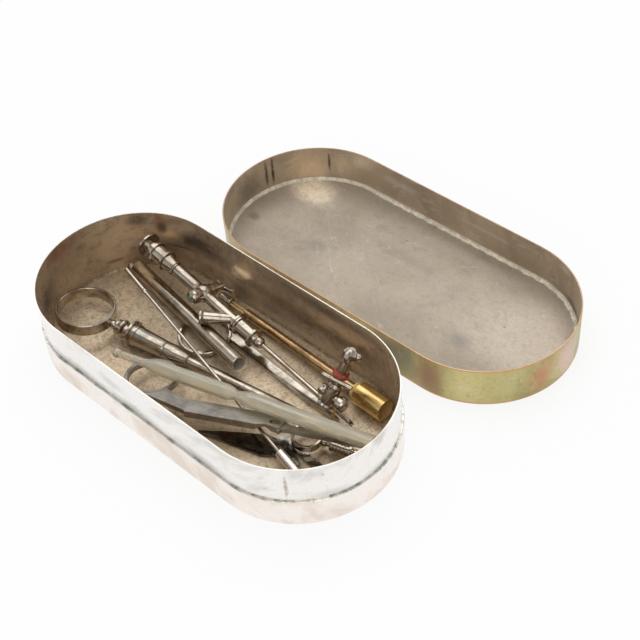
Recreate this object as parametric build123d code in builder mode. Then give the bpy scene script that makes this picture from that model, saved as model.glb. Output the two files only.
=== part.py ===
from build123d import *

import math
import os

# Obround surgical case with its lift-off lid lying upside down beside it, and the
# instruments that it holds. Millimetres, +Z up. The origin is on the table under the
# middle of the base, X runs along the case and Y towards the lid.

# ---- case ----
CASE_LENGTH = 180.0
CASE_WIDTH = 82.0
CASE_HEIGHT = 32.5
BASE_WALL = 0.5
FLOOR_THICK = 0.8
LEDGE_HEIGHT = 13.6
LID_HEIGHT = 19.6
LID_WALL = 0.5
LID_PLATE_THICK = 0.7
LID_CLEARANCE = 0.35
SOLDER_GAP = 0.02
BASE_SOLDER_LEG = 0.7
LID_SOLDER_LEG = 1.3
LID_APART = 10.0
LID_ALONG = 18.6
LID_ANGLE = 0.5

# ---- places: the ends of the case, the far wall, and the rest on the middle line ----
LEFT_END = -CASE_LENGTH / 2
RIGHT_END = CASE_LENGTH / 2
FAR_WALL = CASE_WIDTH / 2 - BASE_WALL

# ---- shared by the instruments ----
REST_GAP = 0.15
SLIP = 0.08

# ---- large trocar with a finger ring, sloping from its flange to its point ----
TROCAR_RING = (LEFT_END + 20.37, -13.32, 8.1)
TROCAR_TIP = (RIGHT_END - 49.51, 6.59, 3.5)
TROCAR_RING_D = 27.0
TROCAR_RING_TILT = 6.0
TROCAR_BAND_THICK = 1.3
TROCAR_BAND_TALL = 5.6
TROCAR_FLANGE_R = 6.0
TROCAR_HANDLE_R = 4.7
TROCAR_BULGE_R = 3.9
TROCAR_TUBE_R = 2.5
TROCAR_BORE_R = 1.8
TROCAR_BEAD_R = 2.0
TROCAR_DISC_R = 3.5
TROCAR_LARGE_DISC_R = 4.3
TROCAR_POINT = 4.0

# ---- small trocar, its ring on the scissors' joint ----
SMALL_RING = (RIGHT_END - 36.87, -0.67)
SMALL_TIP = (RIGHT_END - 5.4, 10.13)
SMALL_TIP_HEIGHT = 3.3
SMALL_RING_D = 13.0
SMALL_BAND_THICK = 1.2
SMALL_BAND_TALL = 3.4
SMALL_FLANGE_R = 3.1
SMALL_HANDLE_R = 2.3
SMALL_TUBE_R = 1.3
SMALL_BORE_R = 0.8
SMALL_LENGTH = 33.5

# ---- long probe ----
PROBE_START = (LEFT_END + 19.5, 12.5, 14.2)
PROBE_END = (RIGHT_END - 23.8, -17.55, 5.7)
PROBE_ROD_R = 0.75
PROBE_BUTT_R = 1.1
PROBE_HANDLE_R = 2.2
PROBE_HANDLE_LENGTH = 15.9

# ---- glass pipette ----
GLASS_START = (-37.6, -23.7, 12.2)
GLASS_END = (RIGHT_END - 7.0, 6.8, 17.7)
GLASS_R = 3.3
GLASS_BORE_R = 2.4
GLASS_NOZZLE_R = 1.75
GLASS_NOZZLE_BORE_R = 0.8
GLASS_PINCH_R = 2.0
GLASS_PINCH_BORE_R = 1.2

# ---- slotted half of the take-apart forceps ----
FORCEPS_RING = (-17.4, -20.6, 7.6)
FORCEPS_TIP = (RIGHT_END - 11.95, 6.48, 12.5)
FORCEPS_ROLL = 11.0
FORCEPS_RING_D = 23.4
FORCEPS_BAND = 1.6
FORCEPS_TALL = 3.0
FORCEPS_SHANK_THICK = 2.2
FORCEPS_BLOCK_WIDTH = 8.0
FORCEPS_BLOCK_LENGTH = 30.5
FORCEPS_BLOCK_THICK = 3.0
FORCEPS_JAW_THICK = 2.0
FORCEPS_SLOT_LENGTH = 5.0
FORCEPS_SLOT_WIDTH = 2.4
FORCEPS_PIN_R = 1.1

# ---- pinned half of the take-apart forceps ----
BLADE_RING = (-22.0, 13.5)
BLADE_START = (-13.2, 20.7)
BLADE_END = (55.0, 15.6)
BLADE_RING_D = 24.0
BLADE_BAND = 1.6
BLADE_RING_TALL = 2.8
BLADE_WIDTH = 4.6
BLADE_THICK = 2.2
BLADE_TAPER = 16.0
BLADE_SHOULDER = 6.0
BLADE_BEVEL = 0.6

# ---- scissors: points of a blade lie along it from the pivot, and towards the near wall ----
SCISSORS_PIVOT = (RIGHT_END - 42.6, -7.7)
SCISSORS_TIP = (RIGHT_END - 74.75, -25.8)
SCISSORS_RING_FAR = (RIGHT_END - 13.5, -7.5)
SCISSORS_ELBOW_FAR = (RIGHT_END - 30.0, -6.7)
SCISSORS_RING_NEAR = (RIGHT_END - 25.5, -24.0)
SCISSORS_ELBOW_NEAR = (RIGHT_END - 33.5, -11.5)
SCISSORS_RING_D = 19.0
SCISSORS_BAND = 2.0
SCISSORS_SHANK = 3.4
SCISSORS_SHANK_FAR = 2.8
SCISSORS_SHANK_NEAR = 1.2
SCISSORS_BLADE_THICK = 1.1
SCISSORS_JOINT_R = 4.2
SCISSORS_SCREW_R = 1.2
SCISSORS_HEAD_R = 1.7
NEAR_BLADE = ((2.7, 5.9), (8.7, 6.7), (22.3, 3.5), (30.0, 1.6))
NEAR_BLADE_BACK = ((28.0, -0.8), (8.0, -2.2))
FAR_BLADE = ((3.0, 4.3), (10.2, 3.9), (22.6, 2.0), (34.0, 0.8))
FAR_BLADE_BACK = ((26.0, -1.6), (8.0, -3.2))

# ---- stopcock cannula ----
COCK_START = (LEFT_END + 20.76, 25.67, 21.0)
COCK_END = (LEFT_END + 152.37, 16.27, 4.4)
COCK_BALL_AT = 39.3
COCK_BALL_R = 4.1
COCK_TUBE_R = 2.9
COCK_BORE_R = 1.5
COCK_CAP_R = 5.7
COCK_CAP_LENGTH = 20.8
COCK_COLLAR_R = 4.9
COCK_NECK_R = 2.8
COCK_SOCKET_AT = 62.0
COCK_NEEDLE_R = 1.0
COCK_NEEDLE_BORE_R = 0.5
COCK_ROLL = -19.0
COCK_PLUG_R = 1.9
COCK_BOSS_R = 3.2
COCK_BOSS_LENGTH = 4.0
COCK_PADDLE_LENGTH = 11.2
COCK_PADDLE_WIDTH = 6.4
COCK_PADDLE_THICK = 1.9
COCK_PADDLE_TO_WALL = 1.6
COCK_SPOUT_AWAY = (8.67, -11.04, -0.2)
COCK_SPOUT_FROM = 58.8
COCK_SPOUT_R = 2.7
COCK_SPOUT_BORE_R = 2.1
COCK_SPOUT_LIP_R = 3.4
COCK_SPOUT_LIP = 1.0

# ---- small stopcock with a cross bar ----
VALVE_FOOT = (LEFT_END + 140.06, 14.42, 9.4)
VALVE_TOP = (LEFT_END + 143.7, 27.95, 33.0)
VALVE_BODY_R = 3.3
VALVE_FOOT_R = 3.9
VALVE_BODY_LENGTH = 11.0
VALVE_PLUG_R = 2.0
VALVE_STEM_R = 2.35
VALVE_KNOB_R = 3.3
VALVE_LUG_R = 1.6
VALVE_BAR_R = 0.95
VALVE_BAR_LENGTH = 13.8
VALVE_BAR_TURN = -38.0
VALVE_BAR_AT = 13.5
VALVE_SEAL_THICK = 2.2
VALVE_SEAL_R = 3.5
VALVE_PORT_R = 2.5
VALVE_PORT_TURN = -14.0
VALVE_PORT_AT = 4.8
VALVE_PORT_OUT = 5.8
VALVE_NUT_R = 3.4
VALVE_PIN_R = 0.5
VALVE_PIN_TOP = 1.2
VALVE_PIN_LENGTH = 3.8

# ---- brass tube with its socket ----
BRASS_START = (-16.5, FAR_WALL - 6.6, 3.85)
BRASS_END_TO_WALL = 5.1
BRASS_END_ANGLE = 55.5
BRASS_END_HEIGHT = 6.5
BRASS_TUBE_R = 2.1
BRASS_BORE_R = 1.5
BRASS_SOCKET_R = 5.05
BRASS_SOCKET_BORE_R = 4.25
BRASS_SOCKET_LENGTH = 17.6
BRASS_SOCKET_DEPTH = 7.5
FERRULE_R = 2.2
FERRULE_BORE_R = 1.5
FERRULE_LENGTH = 8.0
PRONG_R = 0.5
PRONG_SHOW = 10.0

# ---- plain tube with its ball-ended stylet ----
PLAIN_START = (LEFT_END + 14.0, 22.43, 4.6)
PLAIN_END = (LEFT_END + 97.37, 6.64, 10.6)
PLAIN_R = 3.5
PLAIN_BORE_R = 2.9
STYLET_R = 0.8
STYLET_BALL_R = 1.9
STYLET_BALL_OUT = 2.4
STYLET_BALL_ASIDE = 2.1
STYLET_PLUG_LENGTH = 4.0
STYLET_LENGTH = 60.0

# ---- worked out from the sizes above ----
END_RADIUS = CASE_WIDTH / 2
STRAIGHT = CASE_LENGTH - CASE_WIDTH
FLUSH_RADIUS = END_RADIUS + LID_CLEARANCE + LID_WALL
INNER_RADIUS = END_RADIUS - BASE_WALL
FLOOR_LEVEL = FLOOR_THICK + REST_GAP
SCISSORS_FULL = 2 * SCISSORS_BLADE_THICK + SLIP


def run_plane(start, end):
    """Upright plane whose x runs from start to end and whose y is the radius."""
    run = Vector(*end) - Vector(*start)
    return Plane(origin=start, x_dir=run, z_dir=run.cross(Vector(0, 0, 1)))


def flat_plane(start, end):
    """Plane that lies along start to end, with its z as near to upright as it can."""
    run = Vector(*end) - Vector(*start)
    side = Vector(0, 0, 1).cross(run)
    return Plane(origin=start, x_dir=run, z_dir=run.cross(side))


def rolled(plane, angle):
    """The plane turned about its own x, its near side rising."""
    turn = math.radians(angle)
    upright = plane.z_dir * math.cos(turn) + plane.y_dir * math.sin(turn)
    return Plane(origin=plane.origin, x_dir=plane.x_dir, z_dir=upright)


def level(point, height):
    """A point of the plan at a height."""
    return (point[0], point[1], height)


def station(plane, distance):
    """The point at a distance along a plane's x axis."""
    return plane.origin + plane.x_dir * distance


def obround(radius):
    """The case's outline for an end radius, drawn in the sketch that is open."""
    SlotCenterToCenter(STRAIGHT, 2 * radius)


def turned(plane, outline, bore=()):
    """A turned piece: outline and bore are (distance, radius) pairs along the plane's x."""
    with BuildPart() as piece:
        with BuildSketch(plane):
            with BuildLine():
                Polyline((outline[0][0], 0), *outline, (outline[-1][0], 0), close=True)
            make_face()
        revolve(axis=Axis(plane.origin, plane.x_dir))
        if bore:
            with BuildSketch(plane):
                with BuildLine():
                    Polyline((bore[0][0], 0), *bore, (bore[-1][0], 0), close=True)
                make_face()
            revolve(axis=Axis(plane.origin, plane.x_dir), mode=Mode.SUBTRACT)
    return piece.part


def ball_outline(centre, radius, start, steps=8, end=math.pi):
    """Points of a ball's profile from the angle start to end, left to right."""
    angles = [start + (end - start) * i / steps for i in range(steps + 1)]
    return [(centre - radius * math.cos(a), radius * math.sin(a)) for a in angles]


def write(piece, name):
    """Label a piece and write it as its own STEP file."""
    piece.label = name
    export_step(piece, f"parts/{name}.step")


os.makedirs("parts", exist_ok=True)


# ---- base ----
with BuildPart() as base_floor:
    with BuildSketch():
        obround(INNER_RADIUS - SOLDER_GAP)
    extrude(amount=FLOOR_THICK)

with BuildPart() as base_wall:
    with BuildSketch():
        obround(END_RADIUS)
        SlotCenterToCenter(STRAIGHT, 2 * INNER_RADIUS, mode=Mode.SUBTRACT)
    extrude(amount=CASE_HEIGHT)

with BuildPart() as base_sleeve:
    with BuildSketch():
        obround(FLUSH_RADIUS)
        SlotCenterToCenter(STRAIGHT, 2 * (END_RADIUS + SOLDER_GAP), mode=Mode.SUBTRACT)
    extrude(amount=LEDGE_HEIGHT)
    chamfer(base_sleeve.faces().sort_by(Axis.Z)[-1].outer_wire().edges(), 0.2)


def solder_ring(plane, radius, leg):
    """A fillet of solder in the corner between a plate and a wall, cut to a slope."""
    with BuildPart() as ring:
        with BuildSketch(plane):
            obround(radius)
        extrude(amount=leg)
        with BuildSketch(plane):
            obround(radius - leg)
        with BuildSketch(plane.offset(leg)):
            obround(radius - 0.15)
        loft(mode=Mode.SUBTRACT)
    return ring.part


base_solder = solder_ring(
    Plane.XY.offset(FLOOR_THICK), INNER_RADIUS - SOLDER_GAP, BASE_SOLDER_LEG
)

# ---- lid, open side up ----
LID_PLANE = Plane(
    origin=(LID_ALONG, 2 * FLUSH_RADIUS + LID_APART, 0),
    x_dir=(math.cos(math.radians(LID_ANGLE)), math.sin(math.radians(LID_ANGLE)), 0),
    z_dir=(0, 0, 1),
)
LID_INNER_RADIUS = FLUSH_RADIUS - LID_WALL

with BuildPart() as lid_plate:
    with BuildSketch(LID_PLANE):
        obround(LID_INNER_RADIUS - SOLDER_GAP)
    extrude(amount=LID_PLATE_THICK)

with BuildPart() as lid_wall:
    with BuildSketch(LID_PLANE):
        obround(FLUSH_RADIUS)
        SlotCenterToCenter(STRAIGHT, 2 * LID_INNER_RADIUS, mode=Mode.SUBTRACT)
    extrude(amount=LID_HEIGHT)

lid_solder = solder_ring(
    LID_PLANE.offset(LID_PLATE_THICK), LID_INNER_RADIUS - SOLDER_GAP, LID_SOLDER_LEG
)


def finger_ring(plane, diameter, band, tall):
    """A flat-banded finger ring, centred on the plane's origin, with eased edges."""
    with BuildPart() as ring:
        with BuildSketch(plane.offset(-tall / 2)):
            Circle(diameter / 2)
            Circle(diameter / 2 - band, mode=Mode.SUBTRACT)
        extrude(amount=tall)
        chamfer(ring.edges().filter_by(GeomType.CIRCLE), band / 5)
    return ring.part


# ---- large trocar ----
TROCAR_PLANE = run_plane(TROCAR_RING, TROCAR_TIP)
TROCAR_FLAT = rolled(flat_plane(TROCAR_RING, TROCAR_TIP), TROCAR_RING_TILT)
TROCAR_LENGTH = (Vector(*TROCAR_TIP) - Vector(*TROCAR_RING)).length
TROCAR_NECK_AT = TROCAR_RING_D / 2 - TROCAR_BAND_THICK / 2
TROCAR_SEAT_AT = TROCAR_RING_D / 2 + 12.4
TROCAR_GROOVE_AT = TROCAR_SEAT_AT + 3.2
TROCAR_JOINT_AT = TROCAR_SEAT_AT + 18.6


def trocar_stylet():
    """Ring, ball neck, double disc, and the rod with its three-sided point."""
    neck = TROCAR_NECK_AT
    seat = TROCAR_SEAT_AT
    bead_at = neck + 0.9 + TROCAR_BEAD_R
    disc_at = bead_at + TROCAR_BEAD_R + 0.9
    large_at = disc_at + 2.6
    rod = TROCAR_BORE_R - SLIP
    outline = [
        (neck, TROCAR_BEAD_R - 0.6),
        *ball_outline(bead_at, TROCAR_BEAD_R, 0.9, 4, 2.3),
        (disc_at - 0.9, TROCAR_DISC_R - 1.0),
        (disc_at - 0.3, TROCAR_DISC_R),
        (disc_at + 0.4, TROCAR_DISC_R),
        (disc_at + 1.1, TROCAR_DISC_R - 0.7),
        (large_at - 0.9, TROCAR_LARGE_DISC_R - 0.8),
        (large_at - 0.2, TROCAR_LARGE_DISC_R),
        (large_at + 0.6, TROCAR_LARGE_DISC_R - 0.2),
        (large_at + 1.5, TROCAR_DISC_R - 0.6),
        (seat - SLIP, TROCAR_DISC_R - 0.9),
        (seat - SLIP, rod),
        (TROCAR_LENGTH, rod),
    ]
    with BuildPart() as stylet:
        add(finger_ring(TROCAR_FLAT, TROCAR_RING_D, TROCAR_BAND_THICK, TROCAR_BAND_TALL))
        add(turned(TROCAR_PLANE, outline))
        # the point is ground to three flats
        with BuildSketch(Plane(station(TROCAR_PLANE, TROCAR_LENGTH), z_dir=TROCAR_PLANE.x_dir)):
            RegularPolygon(rod, 3)
        with BuildSketch(
            Plane(station(TROCAR_PLANE, TROCAR_LENGTH + TROCAR_POINT), z_dir=TROCAR_PLANE.x_dir)
        ):
            RegularPolygon(rod / 12, 3)
        loft()
    return stylet.part


def trocar_cannula():
    """Flange, tapered grip with its groove, bulged joint and the long tube."""
    seat = TROCAR_SEAT_AT
    groove = TROCAR_GROOVE_AT
    joint = TROCAR_JOINT_AT
    outline = [
        (seat, TROCAR_FLANGE_R - 0.5),
        (seat + 0.4, TROCAR_FLANGE_R),
        (seat + 1.2, TROCAR_FLANGE_R),
        (seat + 1.6, TROCAR_HANDLE_R),
        (groove - 0.4, TROCAR_HANDLE_R),
        (groove - 0.2, TROCAR_HANDLE_R + 0.3),
        (groove + 0.5, TROCAR_HANDLE_R + 0.3),
        (groove + 0.7, TROCAR_HANDLE_R - 0.1),
        (joint - 0.5, TROCAR_BULGE_R),
        (joint, TROCAR_BULGE_R - 0.3),
        (joint + 0.5, TROCAR_BULGE_R),
        (joint + 4.0, TROCAR_BULGE_R),
        (joint + 8.0, TROCAR_BULGE_R - 0.4),
        (joint + 11.4, TROCAR_TUBE_R + 0.5),
        (joint + 11.7, TROCAR_TUBE_R + 0.7),
        (joint + 12.3, TROCAR_TUBE_R + 0.7),
        (joint + 12.6, TROCAR_TUBE_R),
        (TROCAR_LENGTH - 2.0, TROCAR_TUBE_R - 0.2),
        (TROCAR_LENGTH, TROCAR_BORE_R + 0.1),
    ]
    bore = [(seat, TROCAR_BORE_R), (TROCAR_LENGTH, TROCAR_BORE_R)]
    return turned(TROCAR_PLANE, outline, bore)


# ---- small trocar ----
SMALL_FROM = level(
    SMALL_RING, FLOOR_LEVEL + SCISSORS_FULL + REST_GAP + SMALL_BAND_TALL / 2
)
SMALL_TO = level(SMALL_TIP, SMALL_TIP_HEIGHT)
SMALL_PLANE = run_plane(SMALL_FROM, SMALL_TO)
SMALL_FLAT = flat_plane(SMALL_FROM, SMALL_TO)
SMALL_NECK_AT = SMALL_RING_D / 2 - SMALL_BAND_THICK / 2
SMALL_SEAT_AT = 10.2


def small_trocar_stylet():
    """Ring, bead, and the rod."""
    neck = SMALL_NECK_AT
    outline = [
        (neck, 0.9),
        (neck + 0.7, 0.9),
        *ball_outline(neck + 1.7, 1.5, 0.6, 4, 2.5),
        (SMALL_SEAT_AT - SLIP, 0.9),
        (SMALL_SEAT_AT - SLIP, SMALL_BORE_R - SLIP),
        (SMALL_LENGTH, SMALL_BORE_R - SLIP),
        (SMALL_LENGTH + 1.2, 0.1),
    ]
    with BuildPart() as stylet:
        add(finger_ring(SMALL_FLAT, SMALL_RING_D, SMALL_BAND_THICK, SMALL_BAND_TALL))
        add(turned(SMALL_PLANE, outline))
    return stylet.part


def small_trocar_cannula():
    """Ribbed grip, flange, two beads and the tube."""
    seat = SMALL_SEAT_AT
    outline = [(seat, SMALL_HANDLE_R - 0.4), (seat + 0.4, SMALL_HANDLE_R)]
    for rib in range(4):
        at = seat + 1.6 + 1.5 * rib
        outline += [
            (at, SMALL_HANDLE_R),
            (at + 0.2, SMALL_HANDLE_R - 0.3),
            (at + 0.6, SMALL_HANDLE_R - 0.3),
            (at + 0.8, SMALL_HANDLE_R),
        ]
    outline += [
        (seat + 8.2, SMALL_HANDLE_R),
        (seat + 8.4, SMALL_FLANGE_R),
        (seat + 9.4, SMALL_FLANGE_R),
        (seat + 9.6, 1.5),
        *ball_outline(seat + 11.0, 1.9, 0.9, 4, 2.3),
        *ball_outline(seat + 13.8, 1.7, 0.9, 4, 2.3),
        (seat + 15.2, SMALL_TUBE_R),
        (SMALL_LENGTH, SMALL_TUBE_R),
    ]
    bore = [(seat, SMALL_BORE_R), (SMALL_LENGTH, SMALL_BORE_R)]
    return turned(SMALL_PLANE, outline, bore)


# ---- probe ----
PROBE_PLANE = run_plane(PROBE_START, PROBE_END)
PROBE_LENGTH = (Vector(*PROBE_END) - Vector(*PROBE_START)).length
PROBE_JOINT = PROBE_LENGTH - PROBE_HANDLE_LENGTH


def probe_rod():
    """Steel rod with a thicker rounded end and a collar, stepped into its handle."""
    outline = [
        (0.0, 0.6),
        (0.5, PROBE_BUTT_R),
        (16.0, PROBE_BUTT_R),
        (16.6, PROBE_BUTT_R + 0.2),
        (17.6, PROBE_BUTT_R + 0.2),
        (18.4, PROBE_ROD_R),
        (PROBE_JOINT + 8.0, PROBE_ROD_R),
    ]
    return turned(PROBE_PLANE, outline)


def probe_handle():
    """Pale turned handle with a socket for the rod."""
    outline = [
        (PROBE_JOINT + SOLDER_GAP, PROBE_HANDLE_R - 0.5),
        (PROBE_JOINT + 0.6, PROBE_HANDLE_R - 0.1),
        (PROBE_JOINT + 10.0, PROBE_HANDLE_R),
        (PROBE_LENGTH - 1.0, PROBE_HANDLE_R - 0.2),
        (PROBE_LENGTH, PROBE_HANDLE_R - 0.9),
    ]
    socket_radius = PROBE_ROD_R + SOLDER_GAP
    bore = [
        (PROBE_JOINT, socket_radius),
        (PROBE_JOINT + 8.0 + SOLDER_GAP, socket_radius),
    ]
    return turned(PROBE_PLANE, outline, bore)


# ---- glass pipette ----
GLASS_PLANE = run_plane(GLASS_START, GLASS_END)
GLASS_LENGTH = (Vector(*GLASS_END) - Vector(*GLASS_START)).length


def glass_pipette():
    """Beaded nozzle, barrel, pinched neck and open second barrel, hollow throughout."""
    outline = [
        *ball_outline(1.9, 2.1, 0.35, 5, 2.4),
        (4.4, GLASS_NOZZLE_R - 0.2),
        (15.5, GLASS_NOZZLE_R),
        (18.5, 2.2),
        (22.0, GLASS_R - 0.2),
        (25.0, GLASS_R),
        (57.5, GLASS_R),
        (60.5, GLASS_PINCH_R + 0.4),
        (62.2, GLASS_PINCH_R),
        (64.0, GLASS_PINCH_R + 0.4),
        (67.5, GLASS_R),
        (GLASS_LENGTH, GLASS_R),
    ]
    bore = [
        (-0.5, 0.5),
        (4.4, GLASS_NOZZLE_BORE_R),
        (15.5, GLASS_NOZZLE_BORE_R),
        (22.0, GLASS_BORE_R - 0.1),
        (58.0, GLASS_BORE_R),
        (60.8, GLASS_PINCH_BORE_R),
        (63.6, GLASS_PINCH_BORE_R),
        (67.0, GLASS_BORE_R),
        (GLASS_LENGTH + 1, GLASS_BORE_R),
    ]
    return turned(GLASS_PLANE, outline, bore)


# ---- take-apart forceps, slotted half ----
FORCEPS_PLANE = rolled(flat_plane(FORCEPS_RING, FORCEPS_TIP), FORCEPS_ROLL)
FORCEPS_REACH = (Vector(*FORCEPS_TIP) - Vector(*FORCEPS_RING)).length
BLOCK_AT = (24.3, -10.75)
BLOCK_ANGLE = 11.1
SLOT_AT = (61.7, -4.2)


def forceps_slotted_half():
    """Ring, flat shank, ground block, arched neck, slotted lock and slender jaw."""
    radius = FORCEPS_RING_D / 2
    half = FORCEPS_BLOCK_WIDTH / 2
    tall = FORCEPS_BLOCK_THICK
    along = Vector(math.cos(math.radians(BLOCK_ANGLE)), math.sin(math.radians(BLOCK_ANGLE)))
    across = Vector(-along.Y, along.X)
    near = Vector(*BLOCK_AT)
    far = near + along * FORCEPS_BLOCK_LENGTH
    lock = Vector(*SLOT_AT)
    lock_half = FORCEPS_SLOT_WIDTH / 2 + 1.5
    with BuildPart() as piece:
        add(finger_ring(FORCEPS_PLANE, FORCEPS_RING_D, FORCEPS_BAND, FORCEPS_TALL))
        # the shank leaves the ring along its near side
        with BuildSketch(FORCEPS_PLANE.offset(-FORCEPS_SHANK_THICK / 2)):
            with BuildLine():
                Polyline(
                    (3.5, -radius + 1.5),
                    (4.0, -radius + 0.1),
                    near - across * (half - 1.0),
                    near + across * (half - 1.2),
                    (10.8, -4.6),
                    (9.4, -5.6),
                    (8.6, -7.2),
                    close=True,
                )
            make_face()
        extrude(amount=FORCEPS_SHANK_THICK)
        # the block and the lock are one thickness, and the neck between them is arched
        with BuildSketch(FORCEPS_PLANE.offset(-tall / 2)):
            with BuildLine():
                Polyline(
                    near - across * half,
                    far - across * half,
                    lock + Vector(-3.2, -lock_half),
                    lock + Vector(3.4, -lock_half),
                    lock + Vector(3.4, lock_half),
                    lock + Vector(-3.2, lock_half),
                    far + across * half,
                    near + across * half,
                    close=True,
                )
            make_face()
        extrude(amount=tall)
        arch = (far + lock) / 2 - along * 0.3
        arch_radius = 1.5 * tall
        arch_plane = Plane(
            origin=FORCEPS_PLANE.from_local_coords((arch.X, arch.Y, -tall / 2 - 0.7 * arch_radius)),
            z_dir=FORCEPS_PLANE.y_dir,
        )
        with BuildSketch(arch_plane):
            Circle(arch_radius)
        extrude(amount=2 * half, both=True, mode=Mode.SUBTRACT)
        with BuildSketch(FORCEPS_PLANE.offset(-FORCEPS_JAW_THICK / 2)):
            with BuildLine():
                Polyline(
                    lock + Vector(2.9, -lock_half),
                    lock + Vector(6.5, -1.4),
                    (FORCEPS_REACH - 1.0, -0.6),
                    (FORCEPS_REACH, 0.0),
                    (FORCEPS_REACH - 1.0, 0.5),
                    lock + Vector(6.5, 1.6),
                    lock + Vector(2.9, lock_half),
                    close=True,
                )
            make_face()
        extrude(amount=FORCEPS_JAW_THICK)
        with BuildSketch(FORCEPS_PLANE.offset(-tall / 2)):
            with Locations((lock.X, lock.Y)):
                SlotOverall(FORCEPS_SLOT_LENGTH, FORCEPS_SLOT_WIDTH, rotation=BLOCK_ANGLE)
        extrude(amount=tall, mode=Mode.SUBTRACT)
        pin_at = lock + Vector(2.9, -lock_half - 0.9)
        add(
            turned(
                Plane(
                    origin=FORCEPS_PLANE.from_local_coords(pin_at),
                    x_dir=FORCEPS_PLANE.y_dir,
                    z_dir=FORCEPS_PLANE.z_dir,
                ),
                [
                    (-0.3, FORCEPS_PIN_R - 0.5),
                    (0.0, FORCEPS_PIN_R),
                    (1.4, FORCEPS_PIN_R),
                ],
            )
        )
    return piece.part


# ---- take-apart forceps, pinned half ----
def forceps_pinned_half():
    """Ring, and a long flat shank with a bevelled edge that lies on the floor."""
    low = FLOOR_LEVEL
    ring_plane = Plane(origin=level(BLADE_RING, low + BLADE_RING_TALL / 2), z_dir=(0, 0, 1))
    flat = flat_plane(level(BLADE_START, low), level(BLADE_END, low))
    reach = (Vector(*BLADE_END) - Vector(*BLADE_START)).length
    half = BLADE_WIDTH / 2
    with BuildPart() as piece:
        with BuildSketch(flat):
            with BuildLine():
                Polyline(
                    (0, 0.4 * BLADE_BAND - half),
                    (BLADE_SHOULDER, -half),
                    (reach - BLADE_TAPER, -half),
                    (reach, -0.4 * half),
                    (reach, 0.4 * half),
                    (reach - BLADE_TAPER, half),
                    (BLADE_SHOULDER, half),
                    (0, half - 0.8 * BLADE_BAND),
                    close=True,
                )
            make_face()
        extrude(amount=BLADE_THICK)
        straight_length = reach - BLADE_TAPER - BLADE_SHOULDER
        long_edges = piece.edges().filter_by(lambda edge: edge.length > straight_length - 1.0)
        chamfer(long_edges.group_by(Axis.Z)[-1], BLADE_BEVEL)
        add(finger_ring(ring_plane, BLADE_RING_D, BLADE_BAND, BLADE_RING_TALL))
    return piece.part


# ---- scissors ----
def shank_strip(start, end):
    """A straight length of a shank with round ends, drawn in the sketch that is open."""
    run = end - start
    with Locations(((start + end).X / 2, (start + end).Y / 2)):
        SlotCenterToCenter(
            run.length, SCISSORS_SHANK, rotation=math.degrees(math.atan2(run.Y, run.X))
        )


def scissor_half(bottom, edge, back, shank_side, elbow, ring_centre):
    """One half: blade, flat joint, bent shank and finger ring, with the screw's hole."""
    pivot = Vector(*SCISSORS_PIVOT)
    tip = Vector(*SCISSORS_TIP)
    along = (tip - pivot).normalized()
    near = Vector(-along.Y, along.X)
    bend = Vector(*elbow)
    ring = Vector(*ring_centre)
    neck = ring + (bend - ring).normalized() * (SCISSORS_RING_D - SCISSORS_BAND) / 2
    with BuildPart() as half:
        with BuildSketch(Plane.XY.offset(bottom)):
            with BuildLine():
                Polyline(
                    *(pivot + along * a + near * n for a, n in edge),
                    tip,
                    *(pivot + along * a + near * n for a, n in back),
                    pivot - along * 2.0,
                    close=True,
                )
            make_face()
            with Locations((pivot.X, pivot.Y)):
                Circle(SCISSORS_JOINT_R)
            shank_strip(pivot + near * shank_side, bend)
            shank_strip(bend, neck)
        extrude(amount=SCISSORS_BLADE_THICK)
        ring_plane = Plane(origin=level(ring_centre, FLOOR_LEVEL + SCISSORS_FULL / 2))
        add(finger_ring(ring_plane, SCISSORS_RING_D, SCISSORS_BAND, SCISSORS_FULL))
        with BuildSketch(Plane(origin=level(SCISSORS_PIVOT, FLOOR_LEVEL))):
            Circle(SCISSORS_SCREW_R + SLIP)
        extrude(amount=SCISSORS_FULL, mode=Mode.SUBTRACT)
    return half.part


def scissors_screw():
    """Pivot screw with a slotted head."""
    head_thick = 0.4 * SCISSORS_HEAD_R + SOLDER_GAP
    seat = FLOOR_LEVEL + SCISSORS_FULL + SOLDER_GAP
    with BuildPart() as screw:
        with BuildSketch(Plane(origin=level(SCISSORS_PIVOT, FLOOR_LEVEL))):
            Circle(SCISSORS_SCREW_R)
        extrude(amount=SCISSORS_FULL + SOLDER_GAP)
        with BuildSketch(Plane(origin=level(SCISSORS_PIVOT, seat))):
            Circle(SCISSORS_HEAD_R)
        extrude(amount=head_thick)
        with BuildSketch(Plane(origin=level(SCISSORS_PIVOT, seat + head_thick))):
            Rectangle(3 * SCISSORS_HEAD_R, 0.3 * SCISSORS_HEAD_R)
        extrude(amount=-head_thick / 2, mode=Mode.SUBTRACT)
    return screw.part


# ---- stopcock cannula ----
COCK_PLANE = run_plane(COCK_START, COCK_END)
COCK_LENGTH = (Vector(*COCK_END) - Vector(*COCK_START)).length
COCK_CENTRE = station(COCK_PLANE, COCK_BALL_AT)
COCK_SIDE = COCK_PLANE.z_dir * -1
COCK_UP = COCK_PLANE.y_dir
COCK_KEY_DIR = (
    COCK_SIDE * math.cos(math.radians(COCK_ROLL)) + COCK_UP * math.sin(math.radians(COCK_ROLL))
)
COCK_KEY_PLANE = Plane(origin=COCK_CENTRE, x_dir=COCK_KEY_DIR, z_dir=COCK_PLANE.x_dir)
COCK_SPOUT_END = COCK_CENTRE + Vector(*COCK_SPOUT_AWAY)
COCK_PADDLE_AT = (
    FAR_WALL - COCK_PADDLE_TO_WALL - COCK_CENTRE.Y
) / COCK_KEY_DIR.Y - COCK_PADDLE_WIDTH / 2
COCK_HOUSING_END = COCK_BALL_R + 1.4
COCK_PLUG_END = COCK_BALL_R + 1.6


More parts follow.
